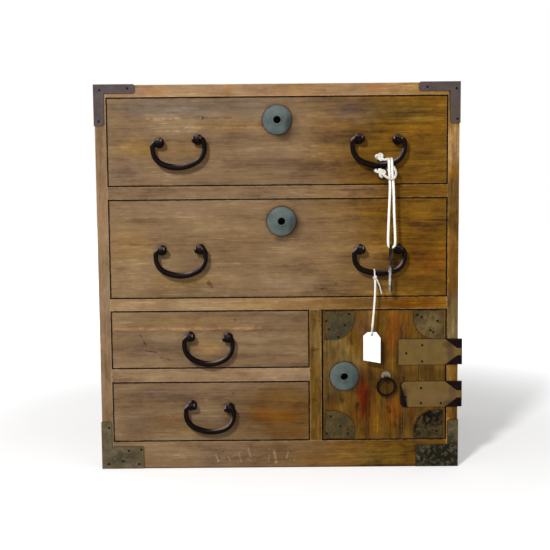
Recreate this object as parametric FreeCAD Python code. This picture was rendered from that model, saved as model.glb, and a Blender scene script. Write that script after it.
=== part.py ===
import FreeCAD, Part
import math
import os
from collections import namedtuple

V = FreeCAD.Vector
X_AXIS, Y_AXIS, Z_AXIS = V(1, 0, 0), V(0, 1, 0), V(0, 0, 1)

# Small tansu chest. Millimetres, +Z up, front towards -Y, origin under the middle of the whole chest.

# Carcass
WIDTH, HEIGHT, DEPTH = 450.0, 482.0, 300.0
FRONT = -143.0                      # plane of the drawer fronts, rails and door
BACK = FRONT + DEPTH
SIDE_T, TOP_T, BACK_T = 14.0, 15.0, 8.0
INSIDE = WIDTH / 2 - SIDE_T         # half the clear width
UNDER_TOP = HEIGHT - TOP_T
FINGERS = 9                         # finger joint between the top and each side
RAIL_DEPTH = 25.0
DUST_T = 8.0                        # thin shelves behind the rails
HOUSING = 3.0                       # how far a shelf is let into the side
TENON, TENON_SHOULDER, TENON_INSET = 5.0, 3.0, 6.0
SHELF_BACK = BACK - BACK_T

# Heights of the rails, and the upright between the small drawers and the cupboard
BASE_TOP = 34.5
RAIL_LOWER = (111.5, 128.0)
RAIL_MIDDLE = (202.0, 217.0)
RAIL_UPPER = (341.5, 357.0)
DIVIDER = (38.5, 53.5)

# Drawers
FRONT_T = 18.0
WALL_T, FLOOR_T = 8.0, 4.0
SIDE_GAP, TOP_GAP, BOTTOM_GAP, RUN_GAP = 0.8, 0.9, 0.8, 0.3
LAP = 8.0                           # rabbet in the front's ends and lower edge
BACK_GAP = 0.5
EDGE_ROUND = 1.0
DRAWERS = {                         # opening: x from, to, z from, to
    "drawer_1": (-INSIDE, INSIDE, RAIL_UPPER[1], UNDER_TOP),
    "drawer_2": (-INSIDE, INSIDE, RAIL_MIDDLE[1], RAIL_UPPER[0]),
    "drawer_3": (-INSIDE, DIVIDER[0], RAIL_LOWER[1], RAIL_MIDDLE[0]),
    "drawer_4": (-INSIDE, DIVIDER[0], BASE_TOP, RAIL_LOWER[0]),
}

# Handles: x of the middle, pivot height, overall width, drop, tilt in degrees
Handle = namedtuple("Handle", "drawer x z width drop tilt")
HANDLES = {
    "handle_1_left": Handle("drawer_1", -121.9, 412.8, 69.5, 36.0, 4.5),
    "handle_1_right": Handle("drawer_1", 124.6, 413.2, 70.0, 36.2, -1.5),
    "handle_2_left": Handle("drawer_2", -121.0, 278.5, 67.5, 35.5, 1.0),
    "handle_2_right": Handle("drawer_2", 125.5, 277.2, 68.0, 33.0, 0.0),
    "handle_3": Handle("drawer_3", -87.8, 168.3, 66.0, 36.5, -2.0),
    "handle_4": Handle("drawer_4", -86.8, 79.8, 66.0, 34.5, -4.5),
}
POST_SPACING = 48.0
POST_W, POST_STRIP = 4.4, 1.5       # iron strip of the split pins
EYE_R = 3.6
CLINCH = 8.0
PIVOT_OUT = 9.0                     # pivot in front of the drawer
BAIL_MID_R, BAIL_HIP_R, BAIL_SIDE_R, BAIL_END_R = 3.3, 3.0, 2.4, 3.1
BAIL_BEND = 5.5                     # bend that turns each end in
BAIL_WAIST, BAIL_HIP = 9.0, 0.88    # the hip bend's start below the pivot, and its share of the fall below
BAIL_TIP = 20.0                     # end of the bar from the handle's middle
BAIL_FLATS = 8                      # facets round the bar
BAIL_END_BEVEL = 1.2
BailCurve = namedtuple("BailCurve", "half low hip sweep meet")

# Round lock plates: x and z of the keyhole, and the way the bolt goes
PLATE_R, PLATE_RIM, PLATE_DOME, PLATE_SWELL, PLATE_STEPS = 18.0, 0.9, 3.0, (0.75, 0.6), 36
COLLAR_R, COLLAR_RISE, COLLAR_FLARE, KEYHOLE_R = 6.5, 1.2, 0.8, 4.75
CASE_W, CASE_UP, CASE_DOWN, CASE_T, CASE_WALL = 44.0, 20.0, 16.0, 9.0, 1.2
BOLT_W, BOLT_T, BOLT_FOOT, BOLT_TRAVEL = 14.0, 4.0, 24.0, 5.0
BOLT_FOOT_H, BOLT_LOW, BOLT_SHORT = 6.0, 6.0, 0.3
BOLT_PLAY, MORTISE_PLAY, MORTISE_SPARE = 0.4, 0.5, 2.5
LOCKS = {
    "drawer_1": (0.0, 438.0),
    "drawer_2": (4.5, 313.0),
    "door": (82.0, 117.0),
}

# Cupboard door
DOOR_T = 18.0
DOOR_LEFT_GAP, DOOR_RIGHT_GAP, DOOR_TOP_GAP, DOOR_LOW_GAP = 1.2, 1.0, 0.9, 0.8
DOOR_X = (DIVIDER[1] + DOOR_LEFT_GAP, INSIDE - DOOR_RIGHT_GAP)
DOOR_Z = (BASE_TOP + DOOR_LOW_GAP, RAIL_MIDDLE[0] - DOOR_TOP_GAP)
BOARD_JOINTS = (156.0, 176.0)       # glue lines of the door's boards
JOINT_W, JOINT_D = 0.8, 0.6
BATTEN_T, BATTEN_H, BATTEN_END = 8.0, 20.0, 6.0
STOP_W, STOP_D = 6.0, 10.0

# Sheet iron
IRON_T = 1.0
CORNER_PLATE, CORNER_ROUND, CORNER_IN = (37.0, 35.2), 27.0, (3.5, 2.0)
TOP_IRON = (50.0, 10.2, 49.6, 11.5)     # flat leg length, height, upright leg length, width
IRON_CLIP = 1.8
IRON_WRAP = 12.0
BASE_IRON = (52.0, 28.0, 60.0, 12.0)    # plate width, height, strip top, width

# Hinges at the right-hand corner
BARREL_R, PIN_R, PIN_PLAY = 2.7, 1.3, 0.08
HINGE_X, HINGE_Y = WIDTH / 2 + 3.0, FRONT - IRON_T + BARREL_R
HINGES = ((131.0, 163.3, 150.4), (77.0, 109.3, 153.8))      # z from, to, and the door leaf's far end
TONGUE = 9.0                        # width of the tongue that carries the middle knuckle
LEAF_SLOPE = (209.0, WIDTH / 2 - 1)     # x at which a leaf starts to narrow, and at which it is a tongue
EAR_START = 210.6                   # where the side leaf's ears on the front begin
EAR_GAP = 0.45                      # between an ear and the door leaf's slope
SIDE_LEAF_END = 34.0                # length of the leaf on the chest's side
KNUCKLE_PLAY = 0.3

# Ring pull of the door
RING_X, RING_R, RING_WIRE, RING_STEPS = 134.7, 11.2, 1.35, 24
PULL_EYE_Z, PULL_EYE_R, PULL_EYE_STRIP, PULL_EYE_W = 115.5, 2.0, 1.3, 2.6
PULL_OUT = 5.0
PULL_BOSS_R, PULL_BOSS_T, PULL_BOSS_UP, PULL_BOSS_BEVEL = 6.0, 1.4, 1.5, 0.8
RING_PLAY = 0.1

# Key on a doubled cotton cord, and a blank tag on a string
CORD_R = 1.6
KNOT = ((-5.2, 2.6), (-2.6, 4.2), (2.6, 4.2), (5.2, 2.6))       # place along the knot, and its radius there
KNOT_SIDES = 8
CORD_TURN_R = 7.4                   # turns of the cord over the handle's bar
CORD_TURN = (-110.0, 55.0)          # from behind the bar to above its front, degrees from the top
CORD_TURN_STEPS = 9
CORD_X = (136.4, 140.0)             # the two strands at the bar
LOOP_Y = FRONT - PIVOT_OUT - CORD_TURN_R
KEY_X, KEY_BOW_TOP, KEY_BOW_END, KEY_TIP = 138.4, 284.3, 257.5, 225.3
KEY_BOW_W, KEY_STRIP, KEY_THICK = 11.0, 1.4, 1.6
KEY_SHAFT_R, KEY_PIPE_R, KEY_PIPE_DEEP = 2.2, 1.2, 12.0
KEY_BIT = (6.5, 8.0, 2.4, 1.2)      # reach, height, thickness, notch
KEY_BIT_UP, KEY_STEPS = 1.0, 10
TAG_W, TAG_H, TAG_T, TAG_SLANT = 21.4, 39.2, 0.6, 4.0
TAG_CLIP, TAG_CLIP_LEFT, TAG_CLIP_RIGHT = 5.2, 4.6, 7.4     # width, and height at each side
TAG_X, TAG_TOP, TAG_HOLE_DROP, TAG_HOLE_R = 115.6, 175.0, 3.2, 1.5
STRING_R, STRING_X, STRING_EYE_R = 0.8, 119.0, 3.0
TAG_OUT = 1.7                       # from the bail's bar to the string's near side
TAG_Y = FRONT - PIVOT_OUT - BAIL_MID_R - STRING_R - TAG_OUT


def box(x0, x1, y0, y1, z0, z1):
    return Part.makeBox(x1 - x0, y1 - y0, z1 - z0, V(x0, y0, z0))


def rod(radius, start, end):
    span = end - start
    return Part.makeCylinder(radius, span.Length, start, span)


def bar(radius, start, end, sides=16):
    """A many-sided bar whose flats are the stated radius from its axis."""
    span = end - start
    return prism(section(start, V(span).normalize(), radius / math.cos(math.pi / sides), sides), span)


def prism(points, direction):
    """A flat figure of corners, pushed along a direction."""
    return Part.Face(outline(points)).extrude(direction)


def mirrored(shape):
    return shape.mirror(V(0, 0, 0), X_AXIS)


def joined(shapes):
    return shapes[0].fuse(shapes[1:]).removeSplitter()


def save(name, *shapes):
    """Writes one piece, or a group of like pieces, as parts/NAME.step."""
    shape = shapes[0] if len(shapes) == 1 else Part.makeCompound(list(shapes))
    if not shape.isValid():
        print("not valid:", name)
    shape.exportStep("parts/" + name + ".step")
    NODES[name] = shape


def section(centre, along, radius, sides):
    """Corners of a bar's cross-section, a regular figure square to the bar."""
    across = Y_AXIS if abs(along.y) < 0.9 else X_AXIS
    second = along.cross(across).normalize()
    third = second.cross(along).normalize()
    turns = [2 * math.pi * (i + 0.5) / sides for i in range(sides)]
    return [centre + third * (radius * math.cos(t)) + second * (radius * math.sin(t)) for t in turns]


def outline(corners):
    return Part.makePolygon(corners + corners[:1])


def skin(rings, closed=False):
    """A solid of flat facets through rings of corners, capped at its ends unless it closes on itself."""
    faces = [] if closed else [Part.Face(outline(rings[0])), Part.Face(outline(rings[-1]))]
    for one, two in zip(rings, rings[1:] + rings[:1] if closed else rings[1:]):
        for a, b, c, d in zip(one, one[1:] + one[:1], two[1:] + two[:1], two):
            if abs((b - a).cross(c - a).dot(d - a)) < 1e-6:
                faces.append(Part.Face(outline([a, b, c, d])))
            else:
                faces += [Part.Face(outline([a, b, c])), Part.Face(outline([a, c, d]))]
    shell = Part.Shell(faces)
    shell.sewShape()
    solid = Part.Solid(shell)
    return solid if solid.Volume > 0 else solid.reversed()


def turned(profile, axis_point, axis, steps, start=0.0, end=360.0):
    """A profile of corners carried round an axis in flat steps, fully or from one angle to another."""
    whole = end - start >= 360
    angles = [start + (end - start) * i / steps for i in range(steps if whole else steps + 1)]
    turns = [FreeCAD.Placement(V(0, 0, 0), FreeCAD.Rotation(axis, angle), axis_point) for angle in angles]
    return skin([[turn.multVec(corner) for corner in profile] for turn in turns], whole)


def tube(points, radius, sides=6):
    """A cord's tube: straight runs joined by the largest arcs that they allow, in flat facets."""
    places, headings = [points[0]], [(points[1] - points[0]).normalize()]
    for before_at, corner, after_at in zip(points, points[1:], points[2:]):
        before, after = corner - before_at, after_at - corner
        back = 0.45 * min(before.Length, after.Length)
        turn = before.getAngle(after)
        before.normalize()
        after.normalize()
        start, end = corner - before * back, corner + after * back
        bend = back / math.tan(turn / 2)
        toward = ((start + end) * 0.5 - corner).normalize()
        middle = corner + toward * (bend / math.cos(turn / 2) - bend)
        places += [start, middle, end]
        headings += [before, (before + after).normalize(), after]
    places.append(points[-1])
    headings.append((points[-1] - points[-2]).normalize())
    return skin([section(place, heading, radius, sides) for place, heading in zip(places, headings)])


# ---- Carcass: boards, rails and shelves ----

def finger_rows():
    """Y ranges of the finger joint, front to back: even ones belong to the sides."""
    step = DEPTH / FINGERS
    return [(FRONT + i * step, FRONT + (i + 1) * step) for i in range(FINGERS)]


def left_side():
    side = box(-WIDTH / 2, -INSIDE, FRONT, BACK, 0, UNDER_TOP)
    fingers = [box(-WIDTH / 2, -INSIDE, y0, y1, UNDER_TOP, HEIGHT) for y0, y1 in finger_rows()[::2]]
    side = joined([side] + fingers)
    rebate = box(-INSIDE - BACK_T + 1, -INSIDE, SHELF_BACK, BACK, 0, UNDER_TOP)
    return side.cut([rebate])


def top_board():
    board = box(-INSIDE, INSIDE, FRONT, BACK, UNDER_TOP, HEIGHT)
    fingers = []
    for y0, y1 in finger_rows()[1::2]:
        finger = box(-WIDTH / 2, -INSIDE, y0, y1, UNDER_TOP, HEIGHT)
        fingers += [finger, mirrored(finger)]
    return joined([board] + fingers)


def rail(x0, x1, z0, z1):
    """A front rail with a stub tenon at each end."""
    body = box(x0, x1, FRONT, FRONT + RAIL_DEPTH, z0, z1)
    tenons = box(x0 - TENON, x1 + TENON, FRONT + TENON_INSET, FRONT + RAIL_DEPTH - TENON_INSET,
                 z0 + TENON_SHOULDER, z1 - TENON_SHOULDER)
    return joined([body, tenons])


def shelf(x0, x1, top):
    """A thin board behind a rail, let into a housing at each end."""
    return box(x0 - HOUSING, x1 + HOUSING, FRONT + RAIL_DEPTH, SHELF_BACK, top - DUST_T, top)


def divider_board():
    front = box(*DIVIDER, FRONT, FRONT + RAIL_DEPTH, BASE_TOP, RAIL_MIDDLE[0])
    rear = box(*DIVIDER, FRONT + RAIL_DEPTH, SHELF_BACK, BASE_TOP, RAIL_MIDDLE[1] - DUST_T)
    return joined([front, rear])


def carcass():
    rails = {
        "base_rail": rail(-INSIDE, INSIDE, 0, BASE_TOP),
        "rail_upper": rail(-INSIDE, INSIDE, *RAIL_UPPER),
        "rail_middle": rail(-INSIDE, INSIDE, *RAIL_MIDDLE),
        "rail_lower": rail(-INSIDE, DIVIDER[0], *RAIL_LOWER),
    }
    shelves = {
        "bottom_board": shelf(-INSIDE, INSIDE, BASE_TOP),
        "dust_board_upper": shelf(-INSIDE, INSIDE, RAIL_UPPER[1]),
        "dust_board_middle": shelf(-INSIDE, INSIDE, RAIL_MIDDLE[1]),
        "dust_board_lower": shelf(-INSIDE, DIVIDER[0], RAIL_LOWER[1]),
    }
    let_in = list(rails.values()) + list(shelves.values())
    side = left_side()
    save("side_left", side.cut(let_in))
    save("side_right", mirrored(side).cut(let_in))
    top = top_board().cut([lock_mortise("drawer_1")])
    save("top_board", top)
    save("back_panel", box(-INSIDE - BACK_T + 1, INSIDE + BACK_T - 1, SHELF_BACK, BACK, 0, UNDER_TOP))
    rails["rail_upper"] = rails["rail_upper"].cut([lock_mortise("drawer_2")])
    for name, shape in list(rails.items()) + list(shelves.items()):
        save(name, shape)
    upright = divider_board().cut([rails["rail_lower"], shelves["dust_board_lower"], lock_mortise("door")])
    save("divider", upright)
    stop_y = FRONT + DOOR_T + KNUCKLE_PLAY
    save("door_stop", box(DIVIDER[1], DIVIDER[1] + STOP_W, stop_y, stop_y + STOP_D,
                          BASE_TOP + BATTEN_END, RAIL_MIDDLE[0] - BATTEN_END))


# ---- Locks: plate, case and sliding bolt, drawn for a bolt that rises ----

def lock_frame(name):
    """Turns a shape drawn about the keyhole at the origin, bolt upwards, into place."""
    x, z = LOCKS[name]
    turn = -90 if name == "door" else 0
    return FreeCAD.Placement(V(x, FRONT, z), FreeCAD.Rotation(Y_AXIS, turn))


def placed(shape, placement):
    moved = shape.copy()
    moved.Placement = placement.multiply(moved.Placement)
    return moved


def bolt_reach(name):
    """Distance from the keyhole to the edge that the bolt comes out of."""
    x, z = LOCKS[name]
    if name == "door":
        return x - DOOR_X[0]
    return DRAWERS[name][3] - TOP_GAP - z


def bolt_span():
    """Depth range of the bolt behind the front face."""
    middle = FRONT_T - CASE_T / 2
    return middle - BOLT_T / 2, middle + BOLT_T / 2


def lock_mortise(name):
    """The pocket in the carcass that the bolt enters, with clearance all round."""
    y0, y1 = bolt_span()
    reach = bolt_reach(name)
    half, play = BOLT_W / 2 + MORTISE_PLAY, MORTISE_PLAY
    pocket = box(-half, half, y0 - play, y1 + play, reach, reach + BOLT_TRAVEL + MORTISE_SPARE)
    return placed(pocket, lock_frame(name))


def lock_plate():
    """Disc, dished in two steps, with a raised collar round the keyhole."""
    top = PLATE_RIM + PLATE_DOME
    lip = top + COLLAR_RISE
    out, up = PLATE_SWELL
    profile = [V(KEYHOLE_R, 0, 0), V(PLATE_R, 0, 0), V(PLATE_R, -PLATE_RIM, 0),
               V(PLATE_R * out, -PLATE_RIM - PLATE_DOME * up, 0), V(COLLAR_R + COLLAR_FLARE, -top, 0),
               V(COLLAR_R, -lip, 0), V(KEYHOLE_R, -lip, 0)]
    return turned(profile, V(0, 0, 0), Y_AXIS, PLATE_STEPS)


def lock_case():
    """Iron box let into the back of the front, open at the top for the bolt."""
    y1 = FRONT_T
    outer = box(-CASE_W / 2, CASE_W / 2, y1 - CASE_T, y1, -CASE_DOWN, CASE_UP)
    inner = box(-CASE_W / 2 + CASE_WALL, CASE_W / 2 - CASE_WALL, y1 - CASE_T + CASE_WALL, y1 - CASE_WALL,
                -CASE_DOWN + CASE_WALL, CASE_UP - CASE_WALL)
    y0, y2 = bolt_span()
    half = BOLT_W / 2 + BOLT_PLAY
    mouth = box(-half, half, y0 - BOLT_PLAY, y2 + BOLT_PLAY, CASE_UP - CASE_WALL, CASE_UP)
    key_way = rod(KEYHOLE_R - 1, V(0, y1 - CASE_T, 0), V(0, y1 - CASE_T + CASE_WALL, 0))
    return outer.cut([inner, mouth, key_way])


def lock_bolt(reach):
    """Sliding bolt, drawn back: a wide foot in the case and a tongue to the edge."""
    y0, y1 = bolt_span()
    foot = box(-BOLT_FOOT / 2, BOLT_FOOT / 2, y0, y1, BOLT_LOW, BOLT_LOW + BOLT_FOOT_H)
    tongue = box(-BOLT_W / 2, BOLT_W / 2, y0, y1, BOLT_LOW, reach - BOLT_SHORT)
    return joined([foot, tongue])


def lock_cuts(name):
    """What a lock takes out of the wood: keyway, pocket for the case, and the bolt's slot."""
    reach = bolt_reach(name)
    y0, y1 = bolt_span()
    pocket = box(-CASE_W / 2, CASE_W / 2, FRONT_T - CASE_T, FRONT_T, -CASE_DOWN, CASE_UP)
    half = BOLT_W / 2 + BOLT_PLAY
    slot = box(-half, half, y0 - BOLT_PLAY, y1 + BOLT_PLAY, CASE_UP, reach + 1)
    key_way = rod(KEYHOLE_R, V(0, 0, 0), V(0, FRONT_T - CASE_T, 0))
    return [placed(cut, lock_frame(name)) for cut in (pocket, slot, key_way)]


def locks():
    for name in LOCKS:
        frame = lock_frame(name)
        save(name + "_lock_plate", placed(lock_plate(), frame))
        save(name + "_lock_case", placed(lock_case(), frame))
        save(name + "_lock_bolt", placed(lock_bolt(bolt_reach(name)), frame))


# ---- Handles: a tapered iron bail in two split pins ----

def handle_frame(name):
    handle = HANDLES[name]
    return FreeCAD.Placement(V(handle.x, FRONT, handle.z), FreeCAD.Rotation(Y_AXIS, -handle.tilt))


def bail_curve(width, drop):
    """Sizes of a bail's low arc and hip arc about the pivot's middle, and the angle at which they meet."""
    half, low = width / 2 - BAIL_SIDE_R, drop - BAIL_MID_R
    fall = low - BAIL_WAIST
    hip = BAIL_HIP * fall
    sweep = ((half - hip) ** 2 + fall ** 2 - hip ** 2) / (2 * (fall - hip))
    meet = math.atan2(half - hip, sweep - fall)
    return BailCurve(half, low, hip, sweep, meet)


def bail(width, drop):
    """A round bar, thick in the middle, bent in a flat curve with its ends turned in."""
    half, low, hip, sweep, meet = bail_curve(width, drop)
    arcs = [                        # centre x and z, radius, turn from, to, bar radius from, to, steps
        (0, sweep - low, sweep, 0, meet, BAIL_MID_R, BAIL_HIP_R, range(1, 5)),
        (hip - half, -BAIL_WAIST, hip, meet, math.pi / 2, BAIL_HIP_R, BAIL_SIDE_R, range(1, 5)),
        (BAIL_BEND - half, -BAIL_BEND, BAIL_BEND, math.pi / 2, math.pi, BAIL_SIDE_R, BAIL_END_R, range(4)),
    ]
    sections = [section(V(0, -PIVOT_OUT, -low), -X_AXIS, BAIL_MID_R, BAIL_FLATS)]
    for x, z, bend, first, last, thick, thin, steps in arcs:
        for i in steps:
            t = first + (last - first) * i / steps[-1]
            place = V(x - bend * math.sin(t), -PIVOT_OUT, z - bend * math.cos(t))
            along = V(-math.cos(t), 0, math.sin(t))
            sections.append(section(place, along, thick + (thin - thick) * i / steps[-1], BAIL_FLATS))
    for out, radius in ((BAIL_TIP, BAIL_END_R), (BAIL_TIP - BAIL_END_BEVEL, 0.7 * BAIL_END_R)):
        sections.append(section(V(-out, -PIVOT_OUT, 0), X_AXIS, radius, BAIL_FLATS))
    other_half = [[V(-c.x, c.y, c.z) for c in ring] for ring in sections[1:]]
    return skin(other_half[::-1] + sections)


def eye_block(radius, centre, width):
    """A short twelve-sided bar along X, whose flats are the stated radius from its axis."""
    return prism(section(centre, X_AXIS, radius / math.cos(math.pi / 12), 12), X_AXIS * width)


def split_pin(x):
    """Iron strip bent round the bail's end, through the drawer front and clinched behind."""
    x0, x1 = x - POST_W / 2, x + POST_W / 2
    middle = V(x0, -PIVOT_OUT, 0)
    eye = eye_block(EYE_R + POST_STRIP, middle, POST_W)
    legs = [box(x0, x1, EYE_R - PIVOT_OUT, FRONT_T, -POST_STRIP, POST_STRIP),
            box(x0, x1, FRONT_T, FRONT_T + POST_STRIP, -CLINCH, CLINCH)]
    return joined([eye] + legs).cut([eye_block(EYE_R, middle, POST_W)])


def handles():
    pins = {drawer: [] for drawer in DRAWERS}
    for name, handle in HANDLES.items():
        frame = handle_frame(name)
        save(name, placed(bail(handle.width, handle.drop), frame))
        pins[handle.drawer] += [placed(split_pin(side * POST_SPACING / 2), frame) for side in (-1, 1)]
    for drawer, group in pins.items():
        save(drawer + "_handle_posts", *group)
    return pins


# ---- Drawers: front, walls and floor ----

def front_block(x0, x1, z0, z1, thick):
    """A board whose visible front edges are worn round."""
    board = box(x0, x1, FRONT, FRONT + thick, z0, z1)
    front_edges = [e for e in board.Edges if all(abs(v.Y - FRONT) < 0.01 for v in e.Vertexes)]
    return board.makeFillet(EDGE_ROUND, front_edges)


def drawer(name, pins):
    x0, x1, z0, z1 = DRAWERS[name]
    left, right = x0 + SIDE_GAP, x1 - SIDE_GAP
    low, high = z0 + RUN_GAP, z1 - TOP_GAP
    lap_y, rear = FRONT + FRONT_T - LAP, SHELF_BACK - BACK_GAP
    floor = box(left, right, lap_y, rear, low, low + FLOOR_T)
    walls = [
        box(left, left + WALL_T, lap_y, rear, low + FLOOR_T, high),
        box(right - WALL_T, right, lap_y, rear, low + FLOOR_T, high),
        box(left + WALL_T, right - WALL_T, rear - WALL_T, rear, low + FLOOR_T, high),
    ]
    front = front_block(left, right, z0 + BOTTOM_GAP, high, FRONT_T)
    cuts = [floor, walls[0], walls[1]] + pins
    if name in LOCKS:
        cuts += lock_cuts(name)
    save(name + "_front", front.cut(cuts))
    save(name + "_walls", *walls)
    save(name + "_bottom", floor)


# ---- Cupboard door ----

def corner_plate():
    """Door corner iron at the lower left: square outside, rounded towards the middle."""
    wide, high = CORNER_PLATE
    x, z = DOOR_X[0] + CORNER_IN[0], DOOR_Z[0] + CORNER_IN[1]
    plate = box(x, x + wide, FRONT - IRON_T, FRONT, z, z + high)
    inner = [e for e in plate.Edges
             if all(abs(v.X - x - wide) < 0.01 and abs(v.Z - z - high) < 0.01 for v in e.Vertexes)]
    return plate.makeFillet(CORNER_ROUND, inner)


def door_irons():
    centre = V(sum(DOOR_X) / 2, 0, sum(DOOR_Z) / 2)
    lower_left = corner_plate()
    lower_right = lower_left.mirror(centre, X_AXIS)
    return [lower_left, lower_right, lower_left.mirror(centre, Z_AXIS), lower_right.mirror(centre, Z_AXIS)]


def ring_pull(door_cuts):
    """An iron ring in a split-pin eye, with a round washer under the eye."""
    x0, x1 = RING_X - PULL_EYE_W / 2, RING_X + PULL_EYE_W / 2
    eye_centre = V(x0, FRONT - PULL_OUT, PULL_EYE_Z)
    legs = box(x0, x1, FRONT - PULL_OUT + PULL_EYE_R, FRONT + DOOR_T,
               PULL_EYE_Z - PULL_EYE_STRIP, PULL_EYE_Z + PULL_EYE_STRIP)
    clinch = box(x0, x1, FRONT + DOOR_T, FRONT + DOOR_T + PULL_EYE_STRIP,
                 PULL_EYE_Z - CLINCH, PULL_EYE_Z + CLINCH)
    washer_at = V(RING_X, FRONT, PULL_EYE_Z + PULL_BOSS_UP)
    washer = skin([section(washer_at - Y_AXIS * out, Y_AXIS, radius, RING_STEPS)
                   for out, radius in ((0, PULL_BOSS_R), (PULL_BOSS_T, PULL_BOSS_R - PULL_BOSS_BEVEL))])
    eye = eye_block(PULL_EYE_R + PULL_EYE_STRIP, eye_centre, PULL_EYE_W)
    hole = eye_block(PULL_EYE_R, eye_centre, PULL_EYE_W)
    save("ring_pull_boss", joined([washer, eye, legs, clinch]).cut([hole]))
    ring_top = PULL_EYE_Z - PULL_EYE_R + RING_WIRE + RING_PLAY
    wire = section(V(RING_X, FRONT - PULL_OUT, ring_top), X_AXIS, RING_WIRE, 8)
    ring = turned(wire, V(RING_X, FRONT - PULL_OUT, ring_top - RING_R), Y_AXIS, RING_STEPS)
    save("ring_pull", ring)
    door_cuts.append(legs)


def door():
    cuts = lock_cuts("door")
    for x in BOARD_JOINTS:
        groove = [V(x - JOINT_W / 2, FRONT, 0), V(x, FRONT + JOINT_D, 0), V(x + JOINT_W / 2, FRONT, 0)]
        cuts.append(prism(groove, Z_AXIS * RAIL_MIDDLE[0]))
    ring_pull(cuts)
    panel = front_block(*DOOR_X, *DOOR_Z, DOOR_T)
    save("door_panel", panel.cut(cuts))
    inner = FRONT + DOOR_T
    x0, x1 = DIVIDER[1] + STOP_W + BATTEN_END, DOOR_X[1] - BATTEN_END
    battens = [box(x0, x1, inner, inner + BATTEN_T, z, z + BATTEN_H)
               for z in (DOOR_Z[0] + 2 * BATTEN_END, DOOR_Z[1] - 2 * BATTEN_END - BATTEN_H)]
    save("door_battens", *battens)
    save("door_corner_irons", *door_irons())


# ---- Sheet iron: corner irons and hinges ----

def knuckle(z0, z1):
    return bar(BARREL_R, V(HINGE_X, HINGE_Y, z0), V(HINGE_X, HINGE_Y, z1))


def door_leaf(z0, z1, end):
    """Flat leaf on the door, narrowed to a tongue that carries the middle knuckle."""
    low, high = (z0 + z1 - TONGUE) / 2, (z0 + z1 + TONGUE) / 2
    wide, narrow = LEAF_SLOPE
    shape = [V(end, FRONT, z0), V(wide, FRONT, z0), V(narrow, FRONT, low), V(HINGE_X, FRONT, low),
             V(HINGE_X, FRONT, high), V(narrow, FRONT, high), V(wide, FRONT, z1), V(end, FRONT, z1)]
    leaf = prism(shape, V(0, -IRON_T, 0))
    bore = rod(PIN_R + PIN_PLAY, V(HINGE_X, HINGE_Y, z0), V(HINGE_X, HINGE_Y, z1))
    return joined([leaf, knuckle(low, high)]).cut([bore])


def side_leaf(z0, z1):
    """Leaf on the chest's side that wraps the corner, with the two outer knuckles."""
    middle = (z0 + z1) / 2
    gap = TONGUE / 2 + KNUCKLE_PLAY
    out = WIDTH / 2
    flat = box(out, out + IRON_T, FRONT - IRON_T, FRONT + SIDE_LEAF_END, z0, z1)
    ear = box(EAR_START, out + IRON_T, FRONT - IRON_T, FRONT, z0, z1)
    leaf = joined([flat, ear, knuckle(z0, z1)])
    room = box(out - 2, HINGE_X + 2 * BARREL_R, FRONT - 2 * IRON_T, HINGE_Y + BARREL_R + 2 * KNUCKLE_PLAY,
               middle - gap, middle + gap)
    wide, narrow = LEAF_SLOPE
    bare = prism([V(wide - EAR_GAP, FRONT, z0 - EAR_GAP), V(narrow, FRONT, middle - gap),
                  V(narrow, FRONT, middle + gap), V(wide - EAR_GAP, FRONT, z1 + EAR_GAP)],
                 V(0, -2 * IRON_T, 0))
    bore = rod(PIN_R, V(HINGE_X, HINGE_Y, z0), V(HINGE_X, HINGE_Y, z1))
    return leaf.cut([room, bare, bore])


def hinge_pin(z0, z1):
    return rod(PIN_R, V(HINGE_X, HINGE_Y, z0), V(HINGE_X, HINGE_Y, z1))


def hinges():
    save("hinge_door_leaves", *[door_leaf(*hinge) for hinge in HINGES])
    save("hinge_side_leaves", *[side_leaf(*hinge[:2]) for hinge in HINGES])
    save("hinge_pins", *[hinge_pin(*hinge[:2]) for hinge in HINGES])


def top_corner_iron():
    """Iron over the top left corner: an L on the front, folded on to the top and the side."""
    length, height, drop, width = TOP_IRON
    left = -WIDTH / 2
    end, inner, clip = left + length, left + width, IRON_CLIP
    face = [V(left, FRONT, HEIGHT), V(end - clip, FRONT, HEIGHT), V(end, FRONT, HEIGHT - clip),
            V(end, FRONT, HEIGHT - height + clip), V(end - clip, FRONT, HEIGHT - height),
            V(inner, FRONT, HEIGHT - height), V(inner, FRONT, HEIGHT - drop + clip),
            V(inner - clip, FRONT, HEIGHT - drop), V(left, FRONT, HEIGHT - drop)]
    front_leaf = prism(face, V(0, -IRON_T, 0))
    front, rear = FRONT - IRON_T, FRONT + IRON_WRAP
    on_side = box(left - IRON_T, left, front, rear, HEIGHT - drop, HEIGHT + IRON_T)
    on_top = box(left - IRON_T, end - clip, front, rear, HEIGHT, HEIGHT + IRON_T)
    return joined([front_leaf, on_side, on_top])


def base_corner_iron():
    """Iron over the lower left corner: a plate and an upright strip, folded round the side."""
    width, height, top, strip = BASE_IRON
    left = -WIDTH / 2
    face = [V(left, FRONT, 0), V(left + width, FRONT, 0), V(left + width, FRONT, height),
            V(left + strip, FRONT, height), V(left + strip, FRONT, top), V(left, FRONT, top)]
    front_leaf = prism(face, V(0, -IRON_T, 0))
    on_side = box(left - IRON_T, left, FRONT - IRON_T, FRONT + width, 0, height)
    strip_side = box(left - IRON_T, left, FRONT - IRON_T, FRONT + strip, 0, top)
    return joined([front_leaf, on_side, strip_side])


def corner_irons():
    for name, iron in (("corner_irons_top", top_corner_iron()), ("corner_irons_bottom", base_corner_iron())):
        save(name, iron, mirrored(iron))


# ---- Key on its cord, and the tag ----

def bar_centre(name, x):
    """Height of the bail's bar at x, for a bail of the stated width and drop."""
    handle = HANDLES[name]
    curve = bail_curve(handle.width, handle.drop)
    along = x - handle.x
    rise = curve.sweep - math.sqrt(curve.sweep ** 2 - along ** 2)
    return handle.z - curve.low + rise + along * math.tan(math.radians(handle.tilt))


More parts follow.
